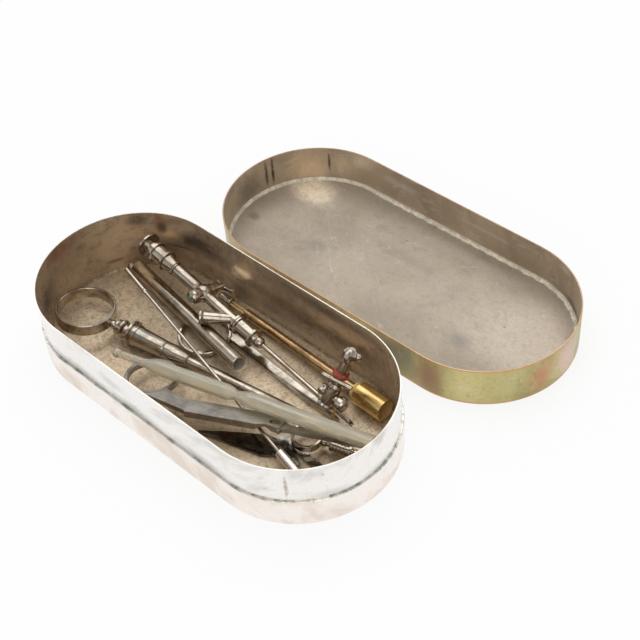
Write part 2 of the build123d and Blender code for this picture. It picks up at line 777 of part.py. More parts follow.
def cock_body():
    """Tube, ball housing bored for the key, lower boss, side spout and bored collar."""
    spout_from = station(COCK_PLANE, COCK_SPOUT_FROM)
    spout = run_plane(spout_from, COCK_SPOUT_END)
    reach = (COCK_SPOUT_END - spout_from).length
    thin = COCK_TUBE_R - 0.3
    outline = [
        (COCK_CAP_LENGTH, thin),
        (COCK_CAP_LENGTH + 0.8, COCK_TUBE_R),
        (COCK_BALL_AT - COCK_BALL_R - 0.4, COCK_TUBE_R),
        (COCK_BALL_AT - COCK_BALL_R + 0.4, thin),
        *ball_outline(COCK_BALL_AT, COCK_BALL_R, 0.75, 10, math.pi - 0.62),
        (COCK_BALL_AT + COCK_BALL_R + 1.2, thin),
        (COCK_SOCKET_AT - 1.2, thin),
        (COCK_SOCKET_AT - 0.6, COCK_COLLAR_R - 1.6),
        (COCK_SOCKET_AT - 0.3, COCK_COLLAR_R - 0.3),
        (COCK_SOCKET_AT + 0.6, COCK_COLLAR_R - 0.3),
        (COCK_SOCKET_AT + 0.6, COCK_COLLAR_R - 1.1),
    ]
    spout_outline = [
        (0.0, COCK_SPOUT_R - 0.3),
        (reach - 2 * COCK_SPOUT_LIP, COCK_SPOUT_R),
        (reach - COCK_SPOUT_LIP, COCK_SPOUT_LIP_R),
        (reach - 0.3, COCK_SPOUT_LIP_R),
        (reach, COCK_SPOUT_LIP_R - 0.3),
    ]
    boss_end = -COCK_BALL_R - COCK_BOSS_LENGTH
    boss = [
        (boss_end, COCK_BOSS_R - 2.0),
        (boss_end + 0.3, COCK_BOSS_R - 1.1),
        (boss_end + 1.1, COCK_BOSS_R - 0.3),
        (boss_end + 2.1, COCK_BOSS_R),
        (boss_end + 2.9, COCK_BOSS_R - 0.3),
        (boss_end + 3.1, COCK_BOSS_R + 0.2),
        (boss_end + 3.9, COCK_BOSS_R + 0.2),
        (0.0, COCK_BOSS_R),
        (COCK_HOUSING_END - 0.8, COCK_BOSS_R - 0.2),
        (COCK_HOUSING_END, COCK_BOSS_R - 0.4),
    ]
    key_bore = COCK_PLUG_R + SLIP
    with BuildPart() as body:
        add(turned(COCK_PLANE, outline))
        add(turned(spout, spout_outline))
        add(turned(COCK_KEY_PLANE, boss))
        add(
            turned(
                spout, [(COCK_BORE_R, COCK_SPOUT_BORE_R), (reach + 1, COCK_SPOUT_BORE_R)]
            ),
            mode=Mode.SUBTRACT,
        )
        add(
            turned(
                COCK_PLANE,
                [(COCK_CAP_LENGTH - 1, COCK_BORE_R), (COCK_SOCKET_AT + 2, COCK_BORE_R)],
            ),
            mode=Mode.SUBTRACT,
        )
        add(
            turned(COCK_KEY_PLANE, [(-COCK_PLUG_END, key_bore), (COCK_PLUG_END, key_bore)]),
            mode=Mode.SUBTRACT,
        )
    return body.part


def cock_key():
    """Plug that closes the tube, with its cross bore, neck and oval thumb piece."""
    seat = COCK_HOUSING_END + SLIP
    neck = COCK_PLUG_R - 0.2
    outline = [
        (-COCK_PLUG_END + SLIP, COCK_PLUG_R),
        (seat, COCK_PLUG_R),
        (seat + 0.1, COCK_PLUG_R + 0.7),
        (seat + 0.9, COCK_PLUG_R + 0.7),
        (seat + 1.8, neck),
        (COCK_PADDLE_AT - COCK_PADDLE_WIDTH / 2 + 1.2, neck),
    ]
    paddle_plane = Plane(
        origin=station(COCK_KEY_PLANE, COCK_PADDLE_AT),
        x_dir=COCK_PLANE.x_dir,
        z_dir=COCK_PLANE.x_dir.cross(COCK_KEY_DIR),
    )
    with BuildPart() as paddle:
        with BuildSketch(paddle_plane):
            Ellipse(COCK_PADDLE_LENGTH / 2, COCK_PADDLE_WIDTH / 2)
        extrude(amount=COCK_PADDLE_THICK / 2, both=True)
        chamfer(paddle.edges(), COCK_PADDLE_THICK / 5)
    with BuildPart() as key:
        add(turned(COCK_KEY_PLANE, outline))
        add(paddle.part)
        add(
            turned(
                COCK_PLANE,
                [
                    (COCK_BALL_AT - 2 * COCK_PLUG_R, COCK_PLUG_R / 2),
                    (COCK_BALL_AT + 2 * COCK_PLUG_R, COCK_PLUG_R / 2),
                ],
            ),
            mode=Mode.SUBTRACT,
        )
    return key.part


def cock_cap():
    """Turned cap of the packing: end disc, bead, two flanges, a cone and a double ring."""
    end = COCK_CAP_LENGTH - SOLDER_GAP
    profile = [
        (0.01, COCK_CAP_R - 0.8),
        (0.03, COCK_CAP_R),
        (0.07, COCK_CAP_R),
        (0.08, COCK_CAP_R - 0.8),
        (0.11, COCK_NECK_R),
        (0.20, COCK_NECK_R + 0.6),
        (0.29, COCK_NECK_R + 0.1),
        (0.31, COCK_COLLAR_R),
        (0.355, COCK_COLLAR_R),
        (0.375, COCK_COLLAR_R - 0.9),
        (0.635, COCK_COLLAR_R - 1.0),
        (0.655, COCK_COLLAR_R),
        (0.70, COCK_COLLAR_R),
        (0.72, COCK_COLLAR_R - 1.1),
        (0.77, COCK_COLLAR_R - 1.3),
        (0.91, COCK_TUBE_R + 0.1),
        (0.925, COCK_TUBE_R + 0.5),
        (0.965, COCK_TUBE_R + 0.5),
        (0.98, COCK_TUBE_R),
    ]
    outline = [(share * COCK_CAP_LENGTH, radius) for share, radius in profile]
    outline += [
        (end, COCK_TUBE_R),
        (end, COCK_BORE_R - SOLDER_GAP),
        (end + 4 * COCK_BORE_R, COCK_BORE_R - SOLDER_GAP),
    ]
    return turned(COCK_PLANE, outline)


def cock_coupling():
    """Coupling that screws to the collar and carries the needle's ball seat."""
    start = COCK_SOCKET_AT + 0.6 + SOLDER_GAP
    ball = COCK_NECK_R - 0.2
    outline = [
        (start, COCK_COLLAR_R - 0.9),
        (start + 0.3, COCK_COLLAR_R - 0.4),
        (start + 1.1, COCK_COLLAR_R - 0.4),
        (start + 1.5, COCK_COLLAR_R - 1.3),
        (start + 9.0, COCK_COLLAR_R - 1.5),
        (start + 9.4, COCK_COLLAR_R - 0.4),
        (start + 10.5, COCK_COLLAR_R - 0.4),
        (start + 10.9, COCK_NECK_R + 0.1),
        (start + 11.8, COCK_NECK_R - 0.6),
        *ball_outline(start + 13.4, ball, 1.0, 5, math.pi - 0.45),
    ]
    needle_bore = COCK_NEEDLE_R + SOLDER_GAP
    with BuildPart() as coupling:
        add(turned(COCK_PLANE, outline))
        add(
            turned(COCK_PLANE, [(start - 1, needle_bore), (start + 20, needle_bore)]),
            mode=Mode.SUBTRACT,
        )
    return coupling.part


def cock_needle():
    """Fine hollow needle with a slanting point."""
    start = COCK_SOCKET_AT + 4.0
    point = 2 * COCK_NEEDLE_R
    outline = [(start, COCK_NEEDLE_R), (COCK_LENGTH, COCK_NEEDLE_R)]
    bore = [(start - 1, COCK_NEEDLE_BORE_R), (COCK_LENGTH + 1, COCK_NEEDLE_BORE_R)]
    with BuildPart() as needle:
        add(turned(COCK_PLANE, outline, bore))
        with BuildSketch(COCK_PLANE):
            with BuildLine():
                Polyline(
                    (COCK_LENGTH - point, COCK_NEEDLE_R + 0.1),
                    (COCK_LENGTH + 0.1, COCK_NEEDLE_R + 0.1),
                    (COCK_LENGTH + 0.1, 0.3 - COCK_NEEDLE_R),
                    close=True,
                )
            make_face()
        extrude(amount=point, both=True, mode=Mode.SUBTRACT)
    return needle.part


# ---- small stopcock ----
VALVE_PLANE = run_plane(VALVE_FOOT, VALVE_TOP)
VALVE_LENGTH = (Vector(*VALVE_TOP) - Vector(*VALVE_FOOT)).length


def valve_across(turn):
    """Direction square to the valve's axis, turned about it from the level one."""
    angle = math.radians(turn)
    return VALVE_PLANE.z_dir * math.cos(angle) + VALVE_PLANE.y_dir * math.sin(angle)


VALVE_BAR_DIR = valve_across(VALVE_BAR_TURN)
VALVE_FRONT = VALVE_BAR_DIR.cross(VALVE_PLANE.x_dir)
VALVE_PORT_PLANE = Plane(
    origin=station(VALVE_PLANE, VALVE_PORT_AT),
    x_dir=valve_across(VALVE_PORT_TURN),
    z_dir=VALVE_PLANE.x_dir,
)
VALVE_NUT_AT = VALVE_BODY_R + 0.7
VALVE_PLUG_AT = 2.2


def valve_body():
    """Upright barrel with a foot flange and a cross tube ending in a rounded port."""
    outline = [
        (-0.6, VALVE_BODY_R),
        (0.0, VALVE_FOOT_R),
        (0.6, VALVE_FOOT_R),
        (1.4, VALVE_BODY_R),
        (VALVE_BODY_LENGTH - 1.2, VALVE_BODY_R),
        (VALVE_BODY_LENGTH - 0.6, VALVE_BODY_R - 0.4),
        (VALVE_BODY_LENGTH, VALVE_BODY_R - 0.7),
    ]
    ports = [
        (-VALVE_PORT_OUT, VALVE_PORT_R - 1.2),
        (0.4 - VALVE_PORT_OUT, VALVE_PORT_R),
        (1.6 - VALVE_PORT_OUT, VALVE_PORT_R + 0.5),
        (2.4 - VALVE_PORT_OUT, VALVE_PORT_R),
        (0.0, VALVE_PORT_R - 0.2),
        (VALVE_NUT_AT, VALVE_PORT_R - 0.6),
    ]
    plug_bore = VALVE_PLUG_R + SLIP
    bore = [(VALVE_PLUG_AT, plug_bore), (VALVE_BODY_LENGTH + 1, plug_bore)]
    with BuildPart() as body:
        add(turned(VALVE_PLANE, outline))
        add(turned(VALVE_PORT_PLANE, ports))
        add(turned(VALVE_PLANE, bore), mode=Mode.SUBTRACT)
    return body.part


def valve_key():
    """Plug, stem, cross bar in front of the stem, and a round head with a side lug."""
    head = VALVE_LENGTH
    shoulder = VALVE_BODY_LENGTH + SLIP
    outline = [
        (VALVE_PLUG_AT + SLIP, VALVE_PLUG_R),
        (shoulder, VALVE_PLUG_R),
        (shoulder, VALVE_STEM_R - 0.2),
        (shoulder + 0.3, VALVE_STEM_R),
        (head - 5.6, VALVE_STEM_R),
        (head - 4.6, VALVE_KNOB_R - 0.3),
        (head - 3.1, VALVE_KNOB_R),
        (head - 1.1, VALVE_KNOB_R),
        (head, VALVE_KNOB_R - 0.8),
        (head + 0.6, VALVE_KNOB_R - 2.0),
    ]
    bar_centre = (
        station(VALVE_PLANE, VALVE_BAR_AT) + VALVE_FRONT * (VALVE_STEM_R + VALVE_BAR_R / 2)
    )
    half = VALVE_BAR_LENGTH / 2
    bar = [
        (-half, VALVE_BAR_R * 0.5),
        (-half + 0.5, VALVE_BAR_R),
        (half - 0.5, VALVE_BAR_R),
        (half, VALVE_BAR_R * 0.5),
    ]
    lug = [(0.0, VALVE_LUG_R), *ball_outline(VALVE_KNOB_R, VALVE_LUG_R, 1.7, 5, 2.9)]
    with BuildPart() as key:
        add(turned(VALVE_PLANE, outline))
        add(turned(Plane(bar_centre, VALVE_BAR_DIR, VALVE_PLANE.x_dir), bar))
        lug_centre = station(VALVE_PLANE, head - VALVE_LUG_R)
        add(turned(Plane(lug_centre, VALVE_BAR_DIR, VALVE_PLANE.x_dir), lug))
    return key.part


def valve_seal():
    """Remains of a soft red washer round the stem, above the cross bar."""
    start = VALVE_BAR_AT + VALVE_BAR_R + 2 * SLIP
    outline = [
        (start, VALVE_SEAL_R - 0.2),
        (start + 0.7, VALVE_SEAL_R),
        (start + VALVE_SEAL_THICK, VALVE_STEM_R + 0.5),
    ]
    washer_bore = VALVE_STEM_R + SLIP
    bore = [(start, washer_bore), (start + VALVE_SEAL_THICK, washer_bore)]
    return turned(VALVE_PLANE, outline, bore)


def valve_nut():
    """Rounded cap nut with a dished face on the other end of the cross tube."""
    start = VALVE_NUT_AT + SOLDER_GAP
    outline = [
        (start, VALVE_NUT_R - 0.6),
        (start + 0.8, VALVE_NUT_R),
        (start + 3.0, VALVE_NUT_R),
        (start + 3.9, VALVE_NUT_R - 0.5),
        (start + 3.5, VALVE_NUT_R - 1.2),
        (start + 4.2, VALVE_NUT_R - 1.8),
        (start + 4.6, VALVE_NUT_R - 2.8),
    ]
    return turned(VALVE_PORT_PLANE, outline)


def valve_pin():
    """Thin brass pin with a ball end, beside the foot flange."""
    out = VALVE_FOOT_R + VALVE_PIN_R + SOLDER_GAP
    top = station(VALVE_PLANE, VALVE_PIN_TOP) + VALVE_BAR_DIR * out
    plane = Plane(origin=top, x_dir=VALVE_PLANE.x_dir, z_dir=VALVE_PLANE.z_dir)
    low = -VALVE_PIN_LENGTH
    outline = [
        (low - 1.2, VALVE_PIN_R - 0.2),
        (low - 0.9, VALVE_PIN_R + 0.3),
        (low - 0.3, VALVE_PIN_R + 0.3),
        (low, VALVE_PIN_R),
        (-0.3, VALVE_PIN_R),
        (0.0, VALVE_PIN_R / 2),
    ]
    return turned(plane, outline)


# ---- brass tube ----
BRASS_END_REACH = INNER_RADIUS - BRASS_END_TO_WALL
BRASS_END = (
    STRAIGHT / 2 + BRASS_END_REACH * math.cos(math.radians(BRASS_END_ANGLE)),
    BRASS_END_REACH * math.sin(math.radians(BRASS_END_ANGLE)),
    BRASS_END_HEIGHT,
)
BRASS_PLANE = run_plane(BRASS_START, BRASS_END)
BRASS_LENGTH = (Vector(*BRASS_END) - Vector(*BRASS_START)).length
BRASS_SOCKET_AT = BRASS_LENGTH - BRASS_SOCKET_LENGTH
BRASS_WEB = 1.0


def brass_tube():
    """Dark tube, open at both ends."""
    end = BRASS_LENGTH - BRASS_SOCKET_DEPTH - BRASS_WEB - SLIP
    outline = [(0.0, BRASS_TUBE_R), (end, BRASS_TUBE_R)]
    bore = [(-1.0, BRASS_BORE_R), (end + 1.0, BRASS_BORE_R)]
    return turned(BRASS_PLANE, outline, bore)


def brass_socket():
    """Bright socket with a neck ring, a step and an open mouth above a bored web."""
    start = BRASS_SOCKET_AT
    outline = [
        (start, BRASS_TUBE_R + 0.9),
        (start + 0.3, BRASS_TUBE_R + 1.5),
        (start + 1.2, BRASS_TUBE_R + 1.7),
        (start + 1.7, BRASS_TUBE_R + 1.1),
        (start + 2.2, BRASS_SOCKET_R - 1.0),
        (start + 2.9, BRASS_SOCKET_R),
        (BRASS_LENGTH, BRASS_SOCKET_R),
    ]
    bottom = BRASS_LENGTH - BRASS_SOCKET_DEPTH
    bore = [
        (start - 1.0, BRASS_TUBE_R + SOLDER_GAP),
        (bottom - BRASS_WEB, BRASS_TUBE_R + SOLDER_GAP),
        (bottom - BRASS_WEB, BRASS_BORE_R),
        (bottom, BRASS_BORE_R),
        (bottom, BRASS_SOCKET_BORE_R),
        (BRASS_LENGTH + 1.0, BRASS_SOCKET_BORE_R),
    ]
    return turned(BRASS_PLANE, outline, bore)


def wire_ferrule():
    """Rounded nickel ferrule that holds two brass wires."""
    end = -PRONG_SHOW
    start = end - FERRULE_LENGTH
    outline = [
        (start, 0.8),
        (start + 0.6, FERRULE_R - 0.5),
        (start + 1.6, FERRULE_R),
        (end - 0.4, FERRULE_R),
        (end, FERRULE_R - 0.3),
    ]
    bore = [(start + 3.0, FERRULE_BORE_R), (end + 1.0, FERRULE_BORE_R)]
    return turned(BRASS_PLANE, outline, bore)


def brass_prongs():
    """The two wires, from the ferrule into the brass tube."""
    start = -PRONG_SHOW - FERRULE_LENGTH + 3.0 + SOLDER_GAP
    with BuildPart() as wires:
        for side in (-1, 1):
            origin = BRASS_PLANE.origin + BRASS_PLANE.z_dir * side * (PRONG_R + 0.25)
            plane = Plane(origin=origin, x_dir=BRASS_PLANE.x_dir, z_dir=BRASS_PLANE.z_dir)
            add(turned(plane, [(start, PRONG_R), (6.0, PRONG_R)]))
    return wires.part


# ---- plain tube ----
PLAIN_PLANE = run_plane(PLAIN_START, PLAIN_END)
PLAIN_LENGTH = (Vector(*PLAIN_END) - Vector(*PLAIN_START)).length


def plain_tube():
    """Plain nickel tube, open at its right end."""
    outline = [
        (0.0, PLAIN_R - 0.3),
        (0.3, PLAIN_R),
        (PLAIN_LENGTH - 0.2, PLAIN_R),
        (PLAIN_LENGTH, PLAIN_R - 0.2),
    ]
    bore = [(-1.0, PLAIN_BORE_R), (PLAIN_LENGTH + 1.0, PLAIN_BORE_R)]
    return turned(PLAIN_PLANE, outline, bore)


def ball_stylet():
    """Stylet in the plain tube: plug in the mouth, thin rod, and a ball on a bent neck."""
    outline = [
        (0.0, PLAIN_BORE_R - SLIP),
        (STYLET_PLUG_LENGTH, PLAIN_BORE_R - SLIP),
        (STYLET_PLUG_LENGTH + 0.4, STYLET_R),
        (STYLET_LENGTH, STYLET_R),
        (STYLET_LENGTH + 1.0, 0.2),
    ]
    bend = station(PLAIN_PLANE, STYLET_R) + PLAIN_PLANE.z_dir * STYLET_R
    ball_at = station(PLAIN_PLANE, -STYLET_BALL_OUT) + PLAIN_PLANE.z_dir * STYLET_BALL_ASIDE
    reach = (ball_at - bend).length
    neck = [
        (0.0, STYLET_R),
        *ball_outline(reach, STYLET_BALL_R, 0.5, 8, math.pi - 0.1),
    ]
    with BuildPart() as stylet:
        add(turned(PLAIN_PLANE, outline))
        add(turned(run_plane(bend, ball_at), neck))
    return stylet.part


write(base_floor.part, "base_floor")
write(base_wall.part, "base_wall")
write(base_sleeve.part, "base_sleeve")
write(base_solder, "base_solder")
write(lid_plate.part, "lid_plate")
write(lid_wall.part, "lid_wall")
write(lid_solder, "lid_solder")
write(trocar_stylet(), "trocar_stylet")
write(trocar_cannula(), "trocar_cannula")
write(small_trocar_stylet(), "small_trocar_stylet")
write(small_trocar_cannula(), "small_trocar_cannula")
write(probe_rod(), "probe_rod")
write(probe_handle(), "probe_handle")
write(glass_pipette(), "glass_pipette")
write(forceps_slotted_half(), "forceps_slotted_half")
write(forceps_pinned_half(), "forceps_pinned_half")
write(
    scissor_half(
        FLOOR_LEVEL,
        NEAR_BLADE,
        NEAR_BLADE_BACK,
        -SCISSORS_SHANK_FAR,
        SCISSORS_ELBOW_FAR,
        SCISSORS_RING_FAR,
    ),
    "scissor_half_lower",
)
write(
    scissor_half(
        FLOOR_LEVEL + SCISSORS_BLADE_THICK + SLIP,
        FAR_BLADE,
        FAR_BLADE_BACK,
        SCISSORS_SHANK_NEAR,
        SCISSORS_ELBOW_NEAR,
        SCISSORS_RING_NEAR,
    ),
    "scissor_half_upper",
)
write(scissors_screw(), "scissors_screw")
write(cock_body(), "stopcock_body")
write(cock_key(), "stopcock_key")
write(cock_cap(), "stopcock_cap")
write(cock_coupling(), "needle_coupling")
write(cock_needle(), "hollow_needle")
write(valve_body(), "valve_body")
write(valve_key(), "valve_key")
write(valve_seal(), "valve_seal")
write(valve_nut(), "valve_nut")
write(valve_pin(), "valve_pin")
write(brass_tube(), "brass_tube")
write(brass_socket(), "brass_socket")
write(wire_ferrule(), "wire_ferrule")
write(brass_prongs(), "brass_prongs")
write(plain_tube(), "plain_tube")
write(ball_stylet(), "ball_stylet")
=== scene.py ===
import math

import bmesh
import bpy
from mathutils import Matrix, Vector


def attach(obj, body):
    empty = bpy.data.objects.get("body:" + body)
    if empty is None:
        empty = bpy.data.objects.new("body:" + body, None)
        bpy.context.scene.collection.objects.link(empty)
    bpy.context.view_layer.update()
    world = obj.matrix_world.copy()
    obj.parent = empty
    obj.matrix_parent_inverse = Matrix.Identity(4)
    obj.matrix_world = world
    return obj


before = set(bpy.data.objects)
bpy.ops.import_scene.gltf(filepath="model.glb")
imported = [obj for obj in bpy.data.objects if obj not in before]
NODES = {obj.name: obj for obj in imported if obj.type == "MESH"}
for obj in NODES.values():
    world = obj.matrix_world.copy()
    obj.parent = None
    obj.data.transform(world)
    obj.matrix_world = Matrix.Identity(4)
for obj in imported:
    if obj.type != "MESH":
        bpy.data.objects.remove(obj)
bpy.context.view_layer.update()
MM = 0.001

# The case's plan: straight sides with round ends. Each radius is that of an end.
BASE_CENTRE = (0.0, 0.0)
BASE_TURN = 0.0
LID_CENTRE = (18.6 * MM, 93.7 * MM)
LID_TURN = math.radians(0.5)
HALF_STRAIGHT = 49.0 * MM
WALL_MIDDLE = 40.75 * MM  # halfway through the base's inner wall
SLEEVE_MIDDLE = 41.2 * MM  # halfway through the outer band round its foot
LID_MIDDLE = 41.6 * MM  # halfway through the lid's wall
LID_INNER = 41.35 * MM
# Heights above the table.
LID_PLATE = 0.7 * MM
LEDGE = 13.6 * MM
BASE_RIM = 32.5 * MM
LID_RIM = 19.6 * MM


def tone(red, green, blue):
    """A colour written as 8-bit screen values, as the shader's linear one."""
    values = []
    for part in (red, green, blue):
        part = part / 255
        values.append(part / 12.92 if part <= 0.04045 else ((part + 0.055) / 1.055) ** 2.4)
    return (*values, 1.0)


class Shader:
    """A material's node tree, built one node at a time."""

    def __init__(self, name):
        self.material = bpy.data.materials.new(name)
        self.material.use_nodes = True
        self.tree = self.material.node_tree
        self.surface = self.tree.nodes["Principled BSDF"]
        self.place = self.add("ShaderNodeTexCoord").outputs["Object"]

    def add(self, kind, values=None, **settings):
        """A new node with its settings, and its inputs linked or set."""
        made = self.tree.nodes.new(kind)
        for key, value in settings.items():
            setattr(made, key, value)
        for socket, value in (values or {}).items():
            self.feed(made.inputs[socket], value)
        return made

    def feed(self, socket, value):
        """Link a socket to another one, or set it to a constant."""
        if isinstance(value, bpy.types.NodeSocket):
            self.tree.links.new(value, socket)
        else:
            socket.default_value = value

    def maths(self, operation, first, second=0.0):
        made = self.add("ShaderNodeMath", {0: first, 1: second}, operation=operation)
        return made.outputs[0]

    def vector(self, operation, first, second=(0, 0, 0)):
        made = self.add("ShaderNodeVectorMath", {0: first, 1: second}, operation=operation)
        return made.outputs["Value" if operation in ("DOT_PRODUCT", "LENGTH") else "Vector"]

    def spread(self, value, low, high, to_low=0.0, to_high=1.0, smooth=True):
        """A value between low and high, spread over another range and held at its ends."""
        made = self.add(
            "ShaderNodeMapRange",
            {"Value": value, "From Min": low, "From Max": high,
             "To Min": to_low, "To Max": to_high},
            interpolation_type="SMOOTHSTEP" if smooth else "LINEAR",
        )
        return made.outputs["Result"]

    def mix(self, share, first, second):
        made = self.add("ShaderNodeMix", {0: share, 6: first, 7: second}, data_type="RGBA")
        return made.outputs[2]

    def tint(self, colour, mask, share, other):
        """The colour changed to another one where the mask is, by a share of it."""
        return self.mix(self.maths("MULTIPLY", mask, share), colour, other)

    def noise(self, vector, scale, detail=3.0, roughness=0.55, distortion=0.0):
        made = self.add(
            "ShaderNodeTexNoise",
            {"Vector": vector, "Scale": scale, "Detail": detail, "Roughness": roughness,
             "Distortion": distortion},
        )
        return made.outputs["Fac"]

    def lengthened(self, axis, times):
        """The place squeezed along an axis, so that a texture on it is that many times longer."""
        along = self.vector("DOT_PRODUCT", self.place, axis)
        line = self.add("ShaderNodeCombineXYZ", dict(zip("XYZ", axis))).outputs[0]
        share = self.maths("MULTIPLY", along, 1 - 1 / times)
        part = self.add("ShaderNodeVectorMath", {0: line, "Scale": share}, operation="SCALE")
        return self.vector("SUBTRACT", self.place, part.outputs["Vector"])

    def scratches(self, axis, scale, times, thinness, seed=0.0):
        """Fine sparse scratches along an axis: 1 on a scratch and 0 off it."""
        moved = self.vector("ADD", self.lengthened(axis, times), (seed, seed * 0.7, seed * 1.3))
        lines = self.noise(moved, scale, 1.0, 0.4, 0.12)
        edge = self.maths("ABSOLUTE", self.maths("SUBTRACT", lines, 0.5))
        gaps = self.spread(self.noise(moved, scale * 0.4, 2.0), 0.45, 0.6)
        return self.maths("MULTIPLY", self.spread(edge, 0.0, thinness, 1.0, 0.0), gaps)

    def patch(self, centre, sizes, soft, ragged, scale):
        """A patch round a point, in millimetres: 1 inside it and 0 outside.

        soft is the width of its edge and ragged its unevenness, both as shares of its size,
        and scale is that of the unevenness.
        """
        away = self.vector("SUBTRACT", self.place, tuple(c * MM for c in centre))
        away = self.vector("DIVIDE", away, tuple(s * MM for s in sizes))
        far = self.vector("LENGTH", away)
        rough = self.maths("MULTIPLY", self.noise(self.place, scale, 4.0, 0.65), ragged)
        return self.spread(self.maths("ADD", far, rough), 1.0 - soft, 1.0 + soft, 1.0, 0.0)

    def with_patches(self, colour, patch_table, soft, ragged, scale):
        """The colour with a table of patches, stains and painted light: centre and half sizes in
        mm, colour and share.
        """
        for centre, sizes, patch_colour, share in patch_table:
            mask = self.patch(centre, sizes, soft, ragged, scale)
            colour = self.tint(colour, mask, share, patch_colour)
        return colour

    def bump(self, height, distance, strength=1.0, onto=None):
        """A normal raised by a height, where 1 is the distance, on top of another one."""
        values = {"Height": height, "Distance": distance, "Strength": strength}
        if onto is not None:
            values["Normal"] = onto
        return self.add("ShaderNodeBump", values).outputs["Normal"]

    def finish(self, colour, rough, normal=None, metallic=1.0):
        """Feed the surface and give the finished material."""
        self.feed(self.surface.inputs["Base Color"], colour)
        self.feed(self.surface.inputs["Roughness"], rough)
        self.feed(self.surface.inputs["Metallic"], metallic)
        if normal is not None:
            self.feed(self.surface.inputs["Normal"], normal)
        return self.material


def paint(material, *names):
    """Give CAD nodes a material."""
    for name in names:
        mesh = NODES[name].data
        mesh.materials.clear()
        mesh.materials.append(material)


def plan_radius(shader, centre, turn):
    """How far a place lies from the middle line of the base or the lid, seen from above."""
    place = shader.vector("SUBTRACT", shader.place, (*centre, 0))
    if turn:
        place = shader.add(
            "ShaderNodeVectorRotate", {"Vector": place, "Axis": (0, 0, 1), "Angle": -turn}
        ).outputs["Vector"]
    split = shader.add("ShaderNodeSeparateXYZ", {"Vector": place})
    over = shader.maths("SUBTRACT", shader.maths("ABSOLUTE", split.outputs["X"]), HALF_STRAIGHT)
    over = shader.maths("MAXIMUM", over, 0.0)
    square = shader.maths("MULTIPLY", over, over)
    across = shader.maths("MULTIPLY", split.outputs["Y"], split.outputs["Y"])
    return shader.maths("SQRT", shader.maths("ADD", square, across))


# ---- the instruments' metals ----
def direction(start, end):
    """Unit direction between two points in millimetres."""
    return tuple((Vector(end) - Vector(start)).normalized())


# Points on the instruments' axes, in mm.
VALVE_FOOT = (50.06, 14.42, 9.4)
PLAIN_TUBE_END = (-76.0, 22.43, 4.6)
BRASS_TUBE_END = (-16.5, 33.9, 3.85)
# The way that each instrument lies.
RUNS = {
    "trocar": direction((-69.63, -13.32, 8.1), (40.49, 6.59, 3.5)),
    "small": direction((53.13, -0.67, 5.08), (84.6, 10.13, 3.3)),
    "probe": direction((-70.5, 12.5, 14.2), (66.2, -17.55, 5.7)),
    "cock": direction((-69.24, 25.67, 21.0), (62.37, 16.27, 4.4)),
    "valve": direction(VALVE_FOOT, (53.7, 27.95, 33.0)),
    "brass": direction(BRASS_TUBE_END, (69.05, 29.17, 6.5)),
    "plain": direction(PLAIN_TUBE_END, (7.37, 6.64, 10.6)),
    "forceps": direction((-17.4, -20.6, 7.6), (78.05, 6.48, 12.5)),
    "blade": direction((-13.2, 20.7, 0), (55.0, 15.6, 0)),
    "scissors": direction((47.4, -7.7, 0), (15.25, -25.8, 0)),
    "glass": direction((-37.6, -23.7, 12.2), (83.0, 6.8, 17.7)),
}
GRIME = tone(62, 50, 40)
SCRATCH_BRIGHT = tone(236, 230, 220)


def tool_metal(name, light, dark, rough, run, tarnish, patch_table, bore=None):
    """Old plate or brass on a turned piece: lathe rings, lengthwise scratches, tarnish and pits.

    tarnish is the dark tone's share in its clouds. A bore is a point on its axis and its
    radius, in mm.
    """
    axis = RUNS[run]
    s = Shader(name)
    cloud = s.noise(s.lengthened(axis, 2.0), 130.0, 4.0, 0.6)
    fine = s.noise(s.place, 700.0, 3.0, 0.6)
    colour = s.tint(light, s.spread(cloud, 0.46, 0.66), tarnish, dark)
    patina = s.noise(s.lengthened(axis, 1.8), 420.0, 5.0, 0.7)
    colour = s.tint(colour, s.spread(patina, 0.48, 0.62), 0.5, dark)
    pits = s.spread(s.noise(s.place, 1500.0, 2.0, 0.5), 0.70, 0.78)
    pits = s.maths("MULTIPLY", pits, s.spread(cloud, 0.45, 0.6))
    colour = s.tint(colour, pits, 0.7, GRIME)
    colour = s.with_patches(colour, patch_table, 0.25, 0.9, 900.0)
    lines = s.scratches(axis, 1500.0, 40.0, 0.030)
    colour = s.tint(colour, lines, 0.3, SCRATCH_BRIGHT)
    roughness = s.spread(cloud, 0.3, 0.75, rough[0], rough[1], smooth=False)
    roughness = s.maths("ADD", roughness, s.maths("MULTIPLY", pits, 0.3))
    along = s.vector("DOT_PRODUCT", s.place, axis)
    turned = s.add("ShaderNodeTexNoise", {"W": along, "Scale": 2600.0, "Detail": 2.0},
                   noise_dimensions="1D").outputs["Fac"]
    height = s.maths("ADD", s.maths("MULTIPLY", turned, 0.12), s.maths("MULTIPLY", fine, 0.15))
    height = s.maths("SUBTRACT", height, s.maths("MULTIPLY", lines, 0.3))
    height = s.maths("SUBTRACT", height, s.maths("MULTIPLY", pits, 0.8))
    metallic = 1.0
    if bore:
        # painted light inside the tube: a paler, less metallic surface, so that the bore shows
        # lit instead of dark
        point, radius = bore
        away = s.vector("SUBTRACT", s.place, tuple(p * MM for p in point))
        off = s.vector("LENGTH", s.vector("CROSS_PRODUCT", away, axis))
        edge = (radius + 0.05) * MM
        inside = s.spread(off, edge, edge + 0.2 * MM, 1.0, 0.0)
        colour = s.tint(colour, inside, 0.7, light)
        metallic = s.maths("SUBTRACT", 1.0, s.maths("MULTIPLY", inside, 0.8))
    return s.finish(colour, roughness, s.bump(height, 0.01 * MM), metallic)


NICKEL = tone(194, 184, 170)
NICKEL_DARK = tone(132, 115, 96)
VERDIGRIS = tone(120, 160, 148)
